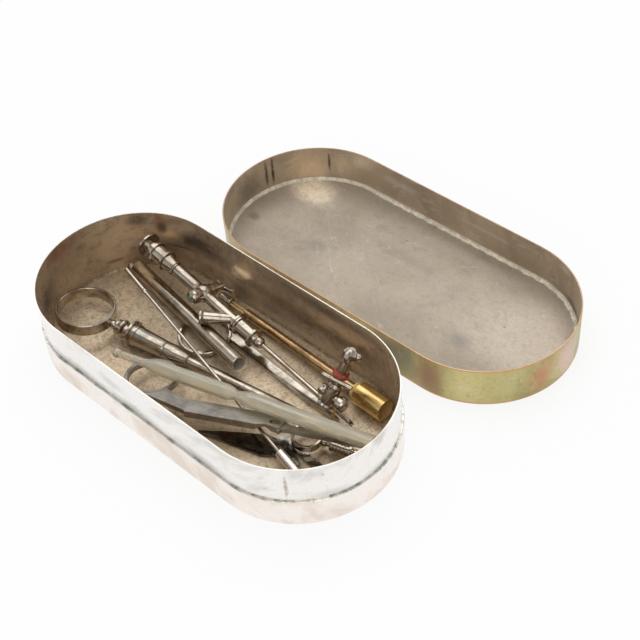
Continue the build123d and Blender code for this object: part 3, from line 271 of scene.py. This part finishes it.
# Material, light and dark tone, lowest and highest roughness, run, tarnish, stains, nodes.
TOOL_FINISHES = (
    ("trocar_nickel", NICKEL, NICKEL_DARK, (0.10, 0.26), "trocar", 0.85,
     (((-38.0, -8.6, 10.5), (7.0, 4.0, 3.0), tone(150, 150, 140), 0.7),
      ((-84.0, -13.3, 8.0), (6.0, 16.0, 6.0), tone(160, 128, 98), 0.5)),
     ("trocar_stylet", "trocar_cannula")),
    ("small_nickel", NICKEL, NICKEL_DARK, (0.10, 0.26), "small", 0.7, (),
     ("small_trocar_stylet", "small_trocar_cannula")),
    ("probe_nickel", tone(210, 201, 188), NICKEL_DARK, (0.16, 0.30), "probe", 0.5, (),
     ("probe_rod",)),
    ("handle_nickel", tone(240, 234, 226), tone(205, 192, 178), (0.22, 0.36), "probe", 0.5, (),
     ("probe_handle",)),
    ("cock_nickel", NICKEL, NICKEL_DARK, (0.11, 0.26), "cock", 0.5,
     (((-30.6, 16.2, 18.3), (3.6, 3.0, 3.6), VERDIGRIS, 0.75),
      ((-21.7, 11.9, 15.9), (3.4, 3.0, 4.2), tone(150, 100, 80), 0.6),
      ((-60.0, 25.0, 17.0), (12.0, 5.0, 2.5), tone(120, 84, 54), 0.6)),
     ("stopcock_body", "stopcock_key", "stopcock_cap", "needle_coupling", "hollow_needle")),
    ("valve_nickel", NICKEL, NICKEL_DARK, (0.09, 0.22), "valve", 0.5,
     (((52.4, 22.6, 23.4), (4.0, 4.0, 3.6), tone(150, 74, 52), 0.75),
      ((53.2, 26.5, 29.0), (3.0, 2.4, 4.0), tone(170, 120, 92), 0.5)),
     ("valve_body", "valve_key", "valve_nut")),
    ("plain_nickel", tone(190, 179, 162), tone(124, 110, 92), (0.13, 0.28), "plain", 0.7, (),
     ("plain_tube", "ball_stylet")),
    ("ferrule_nickel", NICKEL, NICKEL_DARK, (0.14, 0.28), "brass", 0.5, (), ("wire_ferrule",)),
    ("bright_brass", tone(244, 212, 144), tone(196, 160, 98), (0.20, 0.32), "brass", 0.5,
     (((60.0, 29.6, 1.2), (9.0, 6.0, 2.0), tone(92, 66, 34), 0.7),),
     ("brass_socket", "brass_prongs", "valve_pin")),
    ("dark_brass", tone(198, 164, 116), tone(120, 98, 72), (0.22, 0.36), "brass", 0.65, (),
     ("brass_tube",)),
)
BORES = {
    "plain_nickel": (PLAIN_TUBE_END, 2.9),
    "bright_brass": (BRASS_TUBE_END, 4.25),
}
for label, *finish, names in TOOL_FINISHES:
    paint(tool_metal(label, *finish, BORES.get(label)), *names)


GRINDING = tuple(Vector((0.42, 0.9, 0.1)).normalized())


def ground_steel(name, light, dark, rough, run, strength):
    """Flat-ground steel: slanting grinding lines, and dark scratches along the piece."""
    s = Shader(name)
    cloud = s.noise(s.place, 90.0, 4.0, 0.6)
    colour = s.mix(s.spread(cloud, 0.42, 0.66), light, dark)
    slanting = s.noise(s.lengthened(GRINDING, 30.0), 2200.0, 2.0, 0.5)
    colour = s.tint(colour, s.spread(slanting, 0.45, 0.62), strength, tone(190, 186, 180))
    lines = s.scratches(GRINDING, 700.0, 25.0, 0.03)
    marks = s.scratches(RUNS[run], 600.0, 30.0, 0.02, seed=0.9)
    colour = s.tint(colour, lines, 0.4, tone(228, 224, 218))
    colour = s.tint(colour, marks, 0.3, tone(60, 54, 50))
    roughness = s.spread(cloud, 0.3, 0.75, rough[0], rough[1], smooth=False)
    height = s.maths("ADD", s.maths("MULTIPLY", slanting, 0.3), s.maths("MULTIPLY", lines, 0.3))
    return s.finish(colour, roughness, s.bump(height, 0.006 * MM))


# Material, light and dark tone, lowest and highest roughness, run, grinding's share, nodes.
STEEL_FINISHES = (
    ("forceps_steel", tone(178, 173, 166), tone(142, 137, 130), (0.30, 0.42), "forceps", 0.25,
     ("forceps_slotted_half",)),
    ("blade_steel", tone(190, 180, 166), tone(140, 128, 112), (0.14, 0.28), "blade", 0.15,
     ("forceps_pinned_half",)),
    ("scissor_steel", tone(138, 132, 126), tone(94, 88, 82), (0.08, 0.18), "scissors", 0.12,
     ("scissor_half_lower", "scissor_half_upper", "scissors_screw")),
)
for label, *finish, names in STEEL_FINISHES:
    paint(ground_steel(label, *finish), *names)


# ---- glass and washer ----
def old_glass():
    """Yellowed drawn glass with lengthwise streaks of residue inside."""
    s = Shader("old_glass")
    streaks = s.noise(s.lengthened(RUNS["glass"], 14.0), 700.0, 4.0, 0.6)
    haze = s.noise(s.lengthened(RUNS["glass"], 4.0), 160.0, 4.0, 0.6)
    colour = s.mix(s.spread(haze, 0.35, 0.7), tone(255, 252, 238), tone(252, 247, 228))
    colour = s.tint(colour, s.spread(streaks, 0.52, 0.66), 0.3, tone(240, 233, 208))
    s.surface.inputs["Transmission Weight"].default_value = 0.76
    s.surface.inputs["IOR"].default_value = 1.46
    rough = s.spread(streaks, 0.4, 0.7, 0.03, 0.14)
    return s.finish(colour, rough, s.bump(streaks, 0.01 * MM), 0.0)


def crumbly_red():
    """Perished red rubber."""
    s = Shader("red_washer")
    crumbs = s.noise(s.place, 1500.0, 4.0, 0.7)
    colour = s.mix(s.spread(crumbs, 0.35, 0.65), tone(120, 40, 28), tone(178, 92, 66))
    return s.finish(colour, s.spread(crumbs, 0.2, 0.8, 0.6, 0.9), s.bump(crumbs, 0.2 * MM), 0.0)


paint(old_glass(), "glass_pipette")
RED = crumbly_red()
paint(RED, "valve_seal")


# ---- the case's plates ----
def floor_metal(name, light, dark, smear, seed, patch_table, rough, mottle):
    """Dull plate inside the case: cloudy tarnish, smudges, and scratches in two directions.

    seed sets one plate's clouds apart from the other's, and mottle is the smear's share in
    its fine clouds.
    """
    s = Shader(name)
    moved = s.vector("ADD", s.place, (seed, seed * 2, seed))
    cloud = s.noise(moved, 22.0, 5.0, 0.6, 0.3)
    smudge = s.noise(moved, 75.0, 5.0, 0.62, 0.5)
    grain = s.noise(moved, 900.0, 3.0, 0.6)
    colour = s.mix(s.spread(cloud, 0.36, 0.68), light, dark)
    colour = s.tint(colour, s.spread(smudge, 0.56, 0.74), 0.4, smear)
    # the patch table holds stains and painted light: a strip lifting a shadow on the base, a
    # sheen on the lid
    colour = s.with_patches(colour, patch_table, 0.45, 0.6, 400.0)
    lines = s.scratches((0.92, 0.39, 0.0), 300.0, 18.0, 0.010, seed=seed)
    more = s.scratches((0.75, -0.66, 0.0), 240.0, 12.0, 0.008, seed=seed + 0.3)
    lines = s.maths("MAXIMUM", lines, more)
    colour = s.tint(colour, lines, 0.35, tone(222, 214, 202))
    specks = s.spread(s.noise(moved, 420.0, 2.0, 0.5), 0.76, 0.80)
    colour = s.tint(colour, specks, 0.8, GRIME)
    colour = s.tint(colour, s.spread(grain, 0.46, 0.66), mottle, smear)
    middle = s.noise(moved, 300.0, 5.0, 0.7)
    colour = s.tint(colour, s.spread(middle, 0.5, 0.64), mottle, smear)
    roughness = s.spread(cloud, 0.3, 0.7, rough[0], rough[1], smooth=False)
    height = s.maths("ADD", s.maths("MULTIPLY", grain, 0.5), s.maths("MULTIPLY", lines, -0.6))
    normal = s.bump(height, 0.03 * MM)
    normal = s.bump(smudge, 0.3 * MM, 0.35, onto=normal)
    return s.finish(colour, roughness, normal, 0.5)


# Patches, here and below: centre and half sizes in mm, colour and share; some are stains and the
# marked ones painted light.
BASE_FLOOR_PATCHES_AND_LIGHT = (
    ((-60.0, 0.0, 0.8), (14.0, 20.0, 4.0), tone(206, 190, 158), 0.45),
    # painted light: a paler strip that lifts the shadow of the pipette and forceps on the near
    # part of the floor
    ((-10.0, -34.0, 0.8), (40.0, 6.0, 4.0), tone(208, 192, 168), 0.5),
    ((70.0, 14.0, 0.8), (18.0, 16.0, 4.0), tone(252, 234, 206), 0.9),
)
LID_FLOOR_PATCHES_AND_SHEEN = (
    ((-62.6, 84.6, 0.7), (4.0, 3.0, 3.0), tone(128, 118, 106), 0.7),
    ((-24.8, 88.3, 0.7), (7.0, 5.0, 3.0), tone(140, 132, 122), 0.55),
    ((65.0, 82.9, 0.7), (7.0, 5.0, 3.0), tone(134, 130, 126), 0.6),
    # painted sheen: a bright patch on the floor by the wall's foot at the left end, where the
    # wall's glow reflects
    ((-54.0, 117.0, 0.7), (16.0, 11.0, 3.0), tone(254, 240, 216), 0.95),
    ((12.0, 108.0, 0.7), (22.0, 4.0, 3.0), tone(160, 148, 134), 0.5),
    ((30.0, 126.0, 0.7), (40.0, 4.0, 3.0), tone(202, 192, 176), 0.4),
    ((88.0, 100.0, 0.7), (34.0, 26.0, 3.0), tone(214, 200, 182), 0.8),
)
paint(
    floor_metal("base_floor_plate", tone(222, 201, 172), tone(196, 175, 146),
                tone(148, 129, 104), 0.0, BASE_FLOOR_PATCHES_AND_LIGHT, (0.42, 0.56), 0.55),
    "base_floor",
)
paint(
    floor_metal("lid_floor_plate", tone(184, 171, 154), tone(168, 155, 138),
                tone(144, 134, 122), 1.7, LID_FLOOR_PATCHES_AND_SHEEN, (0.40, 0.54), 0.22),
    "lid_plate",
)


# How metallic the walls are: tarnish dulls their inside.
INSIDE_METALLIC = 0.55
OUTSIDE_METALLIC = 0.9


def shell_metal(name, outside, inside, centre, turn, middle):
    """A thin plated wall: one finish outside its middle radius and another inside."""
    s = Shader(name)
    radius = plan_radius(s, centre, turn)
    outer = s.spread(radius, middle - 0.1 * MM, middle + 0.1 * MM)
    out_colour, out_rough = outside(s)
    in_colour, in_rough = inside(s)
    colour = s.mix(outer, in_colour, out_colour)
    rough = s.add("ShaderNodeMix", {0: outer, 2: in_rough, 3: out_rough}).outputs[0]
    upright = s.scratches((0, 0, 1), 300.0, 10.0, 0.010, seed=0.2)
    level = s.scratches((0.98, 0.1, 0.15), 240.0, 26.0, 0.012, seed=0.6)
    lines = s.maths("MAXIMUM", upright, level)
    colour = s.tint(colour, lines, 0.2, tone(236, 232, 224))
    grain = s.noise(s.place, 700.0, 3.0, 0.6)
    dents = s.noise(s.lengthened((0, 0, 1), 2.5), 38.0, 2.0, 0.5)
    height = s.maths("ADD", s.maths("MULTIPLY", grain, 0.4), s.maths("MULTIPLY", lines, -0.5))
    normal = s.bump(height, 0.02 * MM)
    normal = s.bump(dents, 0.5 * MM, 0.5, onto=normal)
    metallic = s.add(
        "ShaderNodeMix", {0: outer, 2: INSIDE_METALLIC, 3: OUTSIDE_METALLIC}).outputs[0]
    return s.finish(colour, rough, normal, metallic)


def height_above_table(s):
    """The place's height in metres."""
    return s.add("ShaderNodeSeparateXYZ", {"Vector": s.place}).outputs["Z"]


def verdigris_line(s, colour, height):
    """Thin broken line of green corrosion at a height."""
    near = s.maths("ABSOLUTE", s.maths("SUBTRACT", height_above_table(s), height))
    line = s.spread(near, 0.1 * MM, 0.6 * MM, 1.0, 0.0)
    ragged = s.noise(s.lengthened((1, 0, 0), 3.0), 420.0, 4.0, 0.7)
    green = s.maths("MULTIPLY", line, s.spread(ragged, 0.45, 0.6))
    return s.tint(colour, green, 0.75, tone(142, 160, 142))


GREY = tone(168, 166, 160)
BASE_OUT_STAINS = (
    ((-39.8, -41.0, 15.0), (26.0, 6.0, 4.5), GREY, 0.75),
    ((-4.0, -41.0, 15.5), (26.0, 6.0, 4.0), tone(160, 164, 158), 0.7),
    ((36.0, -41.0, 15.5), (22.0, 8.0, 4.0), tone(176, 176, 172), 0.75),
    ((84.3, -20.9, 15.5), (12.0, 12.0, 2.8), tone(190, 186, 180), 0.5),
    ((90.0, 2.0, 15.0), (6.0, 14.0, 3.0), tone(190, 186, 180), 0.45),
    ((-16.0, -41.0, 22.5), (12.0, 6.0, 4.0), tone(198, 198, 194), 0.6),
)
SEAM_AT = (73.8, -32.6, 22.0)


def silver_outside(s):
    """Bright plate with grey smears, the sheet's lapped joint and corrosion on the ledge."""
    cloud = s.noise(s.lengthened((0.9, 0.0, 0.43), 3.0), 55.0, 5.0, 0.6, 0.4)
    colour = s.mix(s.spread(cloud, 0.50, 0.66), tone(246, 243, 239), tone(216, 213, 207))
    colour = s.with_patches(colour, BASE_OUT_STAINS, 0.55, 0.9, 120.0)
    spots = s.noise(s.place, 210.0, 5.0, 0.65)
    colour = s.tint(colour, s.spread(spots, 0.62, 0.72), 0.4, tone(156, 148, 136))
    seam = s.patch(SEAM_AT, (1.6, 1.6, 12.0), 0.3, 1.2, 700.0)
    colour = s.tint(colour, seam, 0.6, tone(150, 120, 96))
    colour = verdigris_line(s, colour, LEDGE + 0.3 * MM)
    return colour, s.spread(cloud, 0.3, 0.7, 0.20, 0.36)


BASE_IN_PATCHES_AND_REFLECTIONS = (
    # painted reflection: a bright golden spot on the wall at the left end
    ((-66.1, 36.7, 20.6), (9.0, 9.0, 2.6), tone(236, 200, 150), 0.9),
    # painted reflection: a bright glow on the far wall
    ((-22.8, 40.5, 19.6), (6.5, 5.0, 3.0), tone(250, 222, 184), 0.95),
    ((-19.7, 40.5, 25.2), (7.0, 5.0, 2.0), tone(196, 146, 96), 0.7),
    ((-88.7, -8.3, 29.0), (8.0, 14.0, 5.0), tone(150, 92, 56), 0.6),
    ((-69.2, 35.1, 28.4), (4.0, 4.0, 6.0), tone(176, 112, 62), 0.5),
    ((-77.9, 28.4, 28.2), (7.0, 7.0, 4.0), tone(64, 62, 56), 0.6),
    # painted reflection: a golden spot low on the left end's wall
    ((-81.8, 23.7, 6.8), (3.4, 3.4, 1.8), tone(226, 178, 122), 0.85),
    ((-85.4, 17.0, 6.8), (4.0, 7.0, 1.4), tone(60, 52, 46), 0.6),
    ((-69.4, 35.0, 24.0), (3.6, 3.6, 4.6), tone(44, 36, 30), 0.6),
    ((-50.0, 40.5, 20.0), (20.0, 6.0, 8.0), tone(56, 42, 34), 0.75),
    ((-61.7, 38.5, 14.1), (10.0, 6.0, 1.4), tone(150, 84, 44), 0.75),
    ((-81.8, -23.8, 16.0), (10.0, 12.0, 8.0), tone(70, 64, 58), 0.7),
    ((31.4, 40.5, 28.0), (40.0, 6.0, 4.0), tone(60, 46, 38), 0.6),
    ((10.0, 40.5, 16.0), (60.0, 6.0, 5.0), tone(84, 68, 54), 0.5),
    ((10.3, 40.5, 3.0), (60.0, 6.0, 4.0), tone(196, 182, 160), 0.5),
    ((-66.0, 37.0, 8.0), (12.0, 8.0, 5.0), tone(150, 124, 92), 0.5),
)


def brown_inside(s):
    """Plate tarnished brown inside the base, with painted golden reflections and a painted
    highlight along the rim.
    """
    cloud = s.noise(s.lengthened((0, 0, 1), 1.6), 34.0, 6.0, 0.62, 0.7)
    colour = s.mix(s.spread(cloud, 0.34, 0.68), tone(200, 177, 149), tone(168, 146, 120))
    blotch = s.noise(s.place, 95.0, 5.0, 0.65, 0.6)
    colour = s.tint(colour, s.spread(blotch, 0.55, 0.7), 0.45, tone(112, 94, 78))
    small = s.noise(s.lengthened((0.7, 0.7, 0.1), 2.0), 340.0, 5.0, 0.7)
    colour = s.tint(colour, s.spread(small, 0.5, 0.64), 0.35, tone(112, 92, 72))
    colour = s.with_patches(colour, BASE_IN_PATCHES_AND_REFLECTIONS, 0.5, 0.7, 260.0)
    dots = s.spread(s.noise(s.place, 620.0, 2.0, 0.5), 0.72, 0.78)
    colour = s.tint(colour, dots, 0.6, tone(226, 214, 196))
    # painted highlight: a pale band along the top of the inner wall
    rim = s.spread(height_above_table(s), BASE_RIM - 0.5 * MM, BASE_RIM - 0.1 * MM)
    colour = s.tint(colour, rim, 0.7, tone(190, 180, 164))
    return colour, s.spread(cloud, 0.3, 0.7, 0.16, 0.34)


def pinkish_sleeve(s):
    """The outer band's plate, a little pinker than the wall's."""
    cloud = s.noise(s.place, 60.0, 5.0, 0.6, 0.3)
    colour = s.mix(s.spread(cloud, 0.42, 0.64), tone(250, 243, 236), tone(236, 222, 210))
    colour = verdigris_line(s, colour, LEDGE)
    spots = s.noise(s.place, 260.0, 5.0, 0.65)
    colour = s.tint(colour, s.spread(spots, 0.64, 0.74), 0.45, tone(160, 140, 120))
    return colour, s.spread(cloud, 0.3, 0.7, 0.24, 0.40)


LID_OUT_STAINS = (
    ((-10.0, 52.0, 10.0), (50.0, 6.0, 14.0), tone(150, 112, 70), 0.8),
    ((52.0, 52.0, 10.0), (14.0, 6.0, 14.0), tone(92, 80, 62), 0.8),
    ((61.5, 52.2, 12.0), (6.0, 6.0, 12.0), tone(122, 122, 96), 0.6),
    ((72.0, 52.6, 9.0), (9.0, 5.0, 12.0), tone(142, 96, 80), 0.75),
    ((88.0, 57.0, 10.0), (12.0, 8.0, 14.0), tone(206, 192, 138), 0.7),
    ((101.0, 69.0, 10.0), (8.0, 9.0, 14.0), tone(190, 180, 130), 0.6),
    ((107.0, 82.0, 9.5), (4.5, 8.0, 10.0), tone(192, 130, 100), 0.8),
    ((109.5, 97.5, 11.0), (6.0, 9.0, 12.0), tone(222, 184, 176), 0.8),
)


def heat_tinted_outside(s):
    """Plate worn to brass on the lid's outside: olive, yellow-green, copper and pink."""
    band = s.noise(s.lengthened((0, 0, 1), 1.5), 30.0, 4.0, 0.6, 0.6)
    colour = s.mix(s.spread(band, 0.40, 0.62), tone(190, 178, 122), tone(160, 150, 98))
    colour = s.with_patches(colour, LID_OUT_STAINS, 0.6, 0.7, 120.0)
    fine = s.noise(s.place, 420.0, 5.0, 0.65)
    colour = s.tint(colour, s.spread(fine, 0.52, 0.7), 0.35, tone(128, 108, 70))
    height = height_above_table(s)
    rim = s.spread(height, LID_RIM - 0.7 * MM, LID_RIM - 0.2 * MM)
    colour = s.tint(colour, rim, 0.75, tone(196, 124, 76))
    foot = s.spread(height, 1.2 * MM, 0.2 * MM)
    colour = s.tint(colour, foot, 0.7, tone(206, 140, 108))
    return colour, s.spread(band, 0.3, 0.7, 0.26, 0.40)


CHALK = tone(214, 208, 196)
LID_IN_STAINS_AND_GLOW = (
    # painted glow: a golden patch on the wall at the left end
    ((-62.0, 120.0, 11.0), (12.0, 12.0, 14.0), tone(210, 180, 144), 0.5),
    ((-70.6, 102.5, 11.0), (1.0, 1.4, 12.0), tone(54, 48, 44), 0.85),
    ((-69.8, 106.0, 11.0), (1.0, 1.2, 12.0), tone(44, 40, 38), 0.9),
    ((-52.7, 128.1, 12.0), (1.0, 1.0, 9.0), tone(66, 58, 52), 0.85),
    ((-36.4, 134.2, 15.0), (9.0, 6.0, 5.0), CHALK, 0.6),
    ((-14.0, 134.8, 13.0), (16.0, 6.0, 3.2), CHALK, 0.6),
    ((37.0, 135.0, 12.0), (22.0, 6.0, 1.8), CHALK, 0.45),
    ((83.1, 132.5, 17.0), (6.0, 6.0, 3.0), CHALK, 0.6),
    ((90.0, 128.0, 4.0), (12.0, 12.0, 3.0), tone(66, 74, 66), 0.7),
    ((-72.0, 90.0, 9.0), (8.0, 14.0, 12.0), tone(130, 122, 110), 0.7),
)


def lid_inside(s):
    """Pale brown plate with upright dark streaks, chalky deposits and a painted golden glow at
    the left end.
    """
    cloud = s.noise(s.lengthened((0, 0, 1), 1.4), 36.0, 6.0, 0.6, 0.6)
    colour = s.mix(s.spread(cloud, 0.36, 0.66), tone(202, 183, 158), tone(170, 152, 131))
    colour = s.with_patches(colour, LID_IN_STAINS_AND_GLOW, 0.4, 0.9, 260.0)
    chalk = s.noise(s.lengthened((0.98, 0.1, 0.17), 4.0), 160.0, 6.0, 0.7)
    colour = s.tint(colour, s.spread(chalk, 0.56, 0.66), 0.45, CHALK)
    return colour, s.spread(cloud, 0.3, 0.7, 0.26, 0.42)


# Node, material, finish outside and inside, and the middle line's place and turn with the
# wall's middle radius.
WALLS = (
    ("base_wall", "base_wall_plate", silver_outside, brown_inside,
     BASE_CENTRE, BASE_TURN, WALL_MIDDLE),
    ("base_sleeve", "sleeve_plate", pinkish_sleeve, pinkish_sleeve,
     BASE_CENTRE, BASE_TURN, SLEEVE_MIDDLE),
    ("lid_wall", "lid_wall_plate", heat_tinted_outside, lid_inside,
     LID_CENTRE, LID_TURN, LID_MIDDLE),
)
for node, *wall in WALLS:
    paint(shell_metal(*wall), node)


def solder_metal(name, light, dark, green_share, metallic):
    """Lumpy grey solder with greenish patches."""
    s = Shader(name)
    lumps = s.noise(s.place, 380.0, 5.0, 0.65)
    colour = s.mix(s.spread(lumps, 0.35, 0.65), light, dark)
    patches = s.noise(s.place, 60.0, 5.0, 0.7)
    green = s.maths("MULTIPLY", s.spread(patches, 0.5, 0.62), green_share)
    colour = s.mix(green, colour, tone(150, 166, 146))
    normal = s.bump(lumps, 0.4 * MM)
    return s.finish(colour, s.spread(lumps, 0.3, 0.7, 0.35, 0.6), normal, metallic)


BEAD_METAL = solder_metal(
    "solder_bead_metal", tone(240, 232, 212), tone(212, 202, 180), 0.3, 0.2)
LID_SOLDER = solder_metal(
    "lid_solder_metal", tone(228, 218, 198), tone(196, 184, 162), 0.25, 0.3)
BASE_SOLDER = solder_metal(
    "base_solder_metal", tone(190, 172, 142), tone(132, 112, 88), 0.15, 0.5)
paint(LID_SOLDER, "lid_solder")
paint(BASE_SOLDER, "base_solder")


# ---- pieces added to the solids ----
def finished_piece(name, mesh_data, material, body):
    """A smooth-shaded object made of the mesh data, riding on a body."""
    mesh = bpy.data.meshes.new(name)
    mesh_data.to_mesh(mesh)
    mesh_data.free()
    mesh.polygons.foreach_set("use_smooth", [True] * len(mesh.polygons))
    mesh.materials.append(material)
    piece = bpy.data.objects.new(name, mesh)
    bpy.context.scene.collection.objects.link(piece)
    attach(piece, body)
    return piece


# Waves along a hand-run bead: height as a share, waves' angle per metre, shift per seed.
LUMPS = ((0.16, 900, 1.0), (0.14, 2130, 2.1), (0.1, 4370, 0.7))


def lumpy(at, seed):
    """Uneven size along the bead, between about 0.6 and 1.4."""
    return 1.0 + sum(share * math.sin(pace * at + shift * seed) for share, pace, shift in LUMPS)


BEAD_HALF_WIDTH = 1.05 * MM
BEAD_HEIGHT = 0.85 * MM
BEAD_INSET = 0.75 * MM  # from the wall's inner face to the bead's middle
BEAD_SINK = 0.2 * MM  # the most that it goes into the plate or the wall
BEAD_START = -48.2 * MM  # along the back's straight side
BEAD_ARC = (90.0, -8.0)  # round the right end, in degrees
BEAD_STEPS = 150  # along each of the two
BEAD_SIDES = 10
BEAD_TAPERS = (4, 40)  # steps over which its start and its end rise
BEAD_END_SIZE = 0.3


def bead_line():
    """The bead's middle line in the lid's own plan."""
    radius = LID_INNER - BEAD_INSET
    arc_from, arc_to = BEAD_ARC
    points = []
    for i in range(BEAD_STEPS):
        points.append((BEAD_START + (HALF_STRAIGHT - BEAD_START) * i / BEAD_STEPS, radius))
    for i in range(BEAD_STEPS + 1):
        angle = math.radians(arc_from + (arc_to - arc_from) * i / BEAD_STEPS)
        points.append((HALF_STRAIGHT + radius * math.cos(angle), radius * math.sin(angle)))
    return points


def solder_bead():
    """The raised bead of solder along the back and the right end inside the lid."""
    points = bead_line()
    last = len(points) - 1
    made = bmesh.new()
    rings = []
    travelled = 0.0
    for i, (x, y) in enumerate(points):
        before = points[max(i - 1, 0)]
        after = points[min(i + 1, last)]
        run = Vector((after[0] - before[0], after[1] - before[1], 0)).normalized()
        side = Vector((-run.y, run.x, 0))
        travelled += (Vector(points[i]) - Vector(before)).length
        full = min(1.0, i / BEAD_TAPERS[0], (last - i) / BEAD_TAPERS[1] + 0.1)
        size = BEAD_END_SIZE + (1 - BEAD_END_SIZE) * full
        wide = BEAD_HALF_WIDTH * lumpy(travelled, 1.0) * size
        high = BEAD_HEIGHT * lumpy(travelled, 4.0) * size
        ring = []
        for j in range(BEAD_SIDES):
            angle = 2 * math.pi * j / BEAD_SIDES
            across = min(wide * math.cos(angle), BEAD_INSET + BEAD_SINK)
            above = max(high * math.sin(angle), -BEAD_SINK)
            place = Vector((x, y, LID_PLATE + above)) + side * across
            place.rotate(Matrix.Rotation(LID_TURN, 3, "Z"))
            ring.append(made.verts.new(place + Vector((*LID_CENTRE, 0))))
        rings.append(ring)
    for near, far in zip(rings, rings[1:]):
        for j in range(BEAD_SIDES):
            k = (j + 1) % BEAD_SIDES
            made.faces.new((near[j], near[k], far[k], far[j]))
    made.faces.new(rings[0][::-1])
    made.faces.new(rings[-1])
    bmesh.ops.recalc_face_normals(made, faces=made.faces)
    piece = finished_piece("lid_solder_bead", made, BEAD_METAL, "lid")


def crumb(made, centre, sizes, seed):
    """One irregular crumb, added to a mesh. Its centre and half sizes are in mm."""
    ball = bmesh.ops.create_icosphere(made, subdivisions=2, radius=1.0)
    for vertex in ball["verts"]:
        out = vertex.co.copy()
        lumps = (1 + 0.22 * math.sin(5 * out.x + seed)
                 + 0.18 * math.sin(7 * out.y + 3 * seed + out.z * 4))
        vertex.co = Vector(centre) * MM + Vector([o * s * MM * lumps for o, s in zip(out, sizes)])


WASHER_HEIGHT = 15.6  # along the valve from its foot, in mm
WASHER_RADIUS = 3.2
# Angle round the valve, height over the washer's middle and half length in mm.
CRUMBS = (
    (0.3, 0.0, 1.0), (1.2, 0.5, 0.8), (2.0, -0.2, 1.1), (2.9, 0.3, 0.7),
    (3.8, 0.1, 0.9), (4.9, 0.6, 1.0), (5.6, -0.1, 0.8),
)


def red_crumbs():
    """Remains of the perished washer on the valve's seal."""
    axis = Vector(RUNS["valve"])
    middle = Vector(VALVE_FOOT) + axis * WASHER_HEIGHT
    made = bmesh.new()
    for i, (angle, up, size) in enumerate(CRUMBS):
        side = axis.orthogonal().normalized()
        side.rotate(Matrix.Rotation(angle, 3, axis))
        centre = middle + side * WASHER_RADIUS + axis * up
        crumb(made, centre, (size, size * 0.8, size * 0.7), i * 1.7)
    piece = finished_piece("washer_crumbs", made, RED, "valve")


solder_bead()
red_crumbs()


# ---- studio ----
FLOOR_SIZE = 6.0
FLOOR_DROP = 0.2 * MM  # the floor lies this far under the object, so that no faces share a plane
FLOOR_GLOW = 0.85  # share of plain white that the camera, glass and gloss see in the floor
SKY = ((0.0, 0.95), (0.9, 0.35))  # height and grey of the world, from the horizon upwards
LAMP_AIM = (0, 0.04, 0)
# Name, place, width and depth, watts.
LAMPS = (
    ("key", (-0.30, 0.34, 1.25), (1.4, 1.4), 9.5),
    ("fill", (0.7, -0.7, 0.8), (1.0, 1.0), 3.0),
)


def studio_floor():
    """White paper whose own brightness hides the horizon and keeps the object's shadow."""
    bpy.ops.mesh.primitive_plane_add(size=FLOOR_SIZE, location=(0, 0, -FLOOR_DROP))
    ground = bpy.context.object
    ground.name = "studio_floor"
    s = Shader("studio_paper")
    weave = s.noise(s.place, 40.0, 3.0, 0.5)
    colour = s.mix(weave, (0.955, 0.955, 0.955, 1), (0.965, 0.965, 0.965, 1))
    s.surface.inputs["Specular IOR Level"].default_value = 0.0
    paper = s.finish(colour, 1.0, None, 0.0)
    path = s.add("ShaderNodeLightPath").outputs
    seen = s.maths("MAXIMUM", path["Is Camera Ray"], path["Is Glossy Ray"])
    seen = s.maths("MAXIMUM", seen, path["Is Transmission Ray"])
    glow = s.add("ShaderNodeEmission", {"Color": (1, 1, 1, 1), "Strength": 1.0}).outputs[0]
    both = s.add("ShaderNodeMixShader", {0: s.maths("MULTIPLY", seen, FLOOR_GLOW),
                                         1: s.surface.outputs[0], 2: glow})
    s.feed(s.tree.nodes["Material Output"].inputs["Surface"], both.outputs[0])
    ground.data.materials.append(paper)


def studio_sky():
    """A world that is pale at the horizon and grey overhead."""
    world = bpy.data.worlds.new("studio")
    bpy.context.scene.world = world
    world.use_nodes = True
    tree = world.node_tree
    coordinates = tree.nodes.new("ShaderNodeTexCoord")
    split = tree.nodes.new("ShaderNodeSeparateXYZ")
    tree.links.new(coordinates.outputs["Generated"], split.inputs[0])
    ramp = tree.nodes.new("ShaderNodeValToRGB")
    tree.links.new(split.outputs["Z"], ramp.inputs["Fac"])
    for element, (height, grey) in zip(ramp.color_ramp.elements, SKY):
        element.position = height
        element.color = (grey, grey, grey, 1)
    tree.links.new(ramp.outputs["Color"], tree.nodes["Background"].inputs["Color"])


def lamp(name, place, size, watts):
    """A broad square lamp aimed at the object."""
    light = bpy.data.lights.new(name, "AREA")
    light.shape = "RECTANGLE"
    light.size, light.size_y = size
    light.energy = watts
    holder = bpy.data.objects.new(name, light)
    bpy.context.scene.collection.objects.link(holder)
    holder.location = place
    aim = Vector(LAMP_AIM) - Vector(place)
    holder.rotation_euler = aim.to_track_quat("-Z", "Y").to_euler()


studio_floor()
studio_sky()
for settings in LAMPS:
    lamp(*settings)

# ---- camera, solved from the outlines of the base and the lid ----
CAMERA_PLACE = (0.3005, -0.2220, 0.4116)
CAMERA_RIGHT = (0.7312, 0.6794, -0.0623)
CAMERA_BACK = (0.5071, -0.4802, 0.7157)
SENSOR_WIDTH = 36.0
LENS = 73.15


def photo_camera():
    """The camera at the photograph's viewing angle."""
    view = bpy.data.cameras.new("camera")
    view.sensor_width = SENSOR_WIDTH
    view.lens = LENS
    camera = bpy.data.objects.new("camera", view)
    bpy.context.scene.collection.objects.link(camera)
    back = Vector(CAMERA_BACK).normalized()
    right = Vector(CAMERA_RIGHT)
    right = (right - back * right.dot(back)).normalized()
    turn = Matrix((right, back.cross(right), back)).transposed()
    camera.matrix_world = Matrix.Translation(CAMERA_PLACE) @ turn.to_4x4()
    bpy.context.scene.camera = camera


photo_camera()
bpy.context.scene.view_settings.view_transform = "Standard"
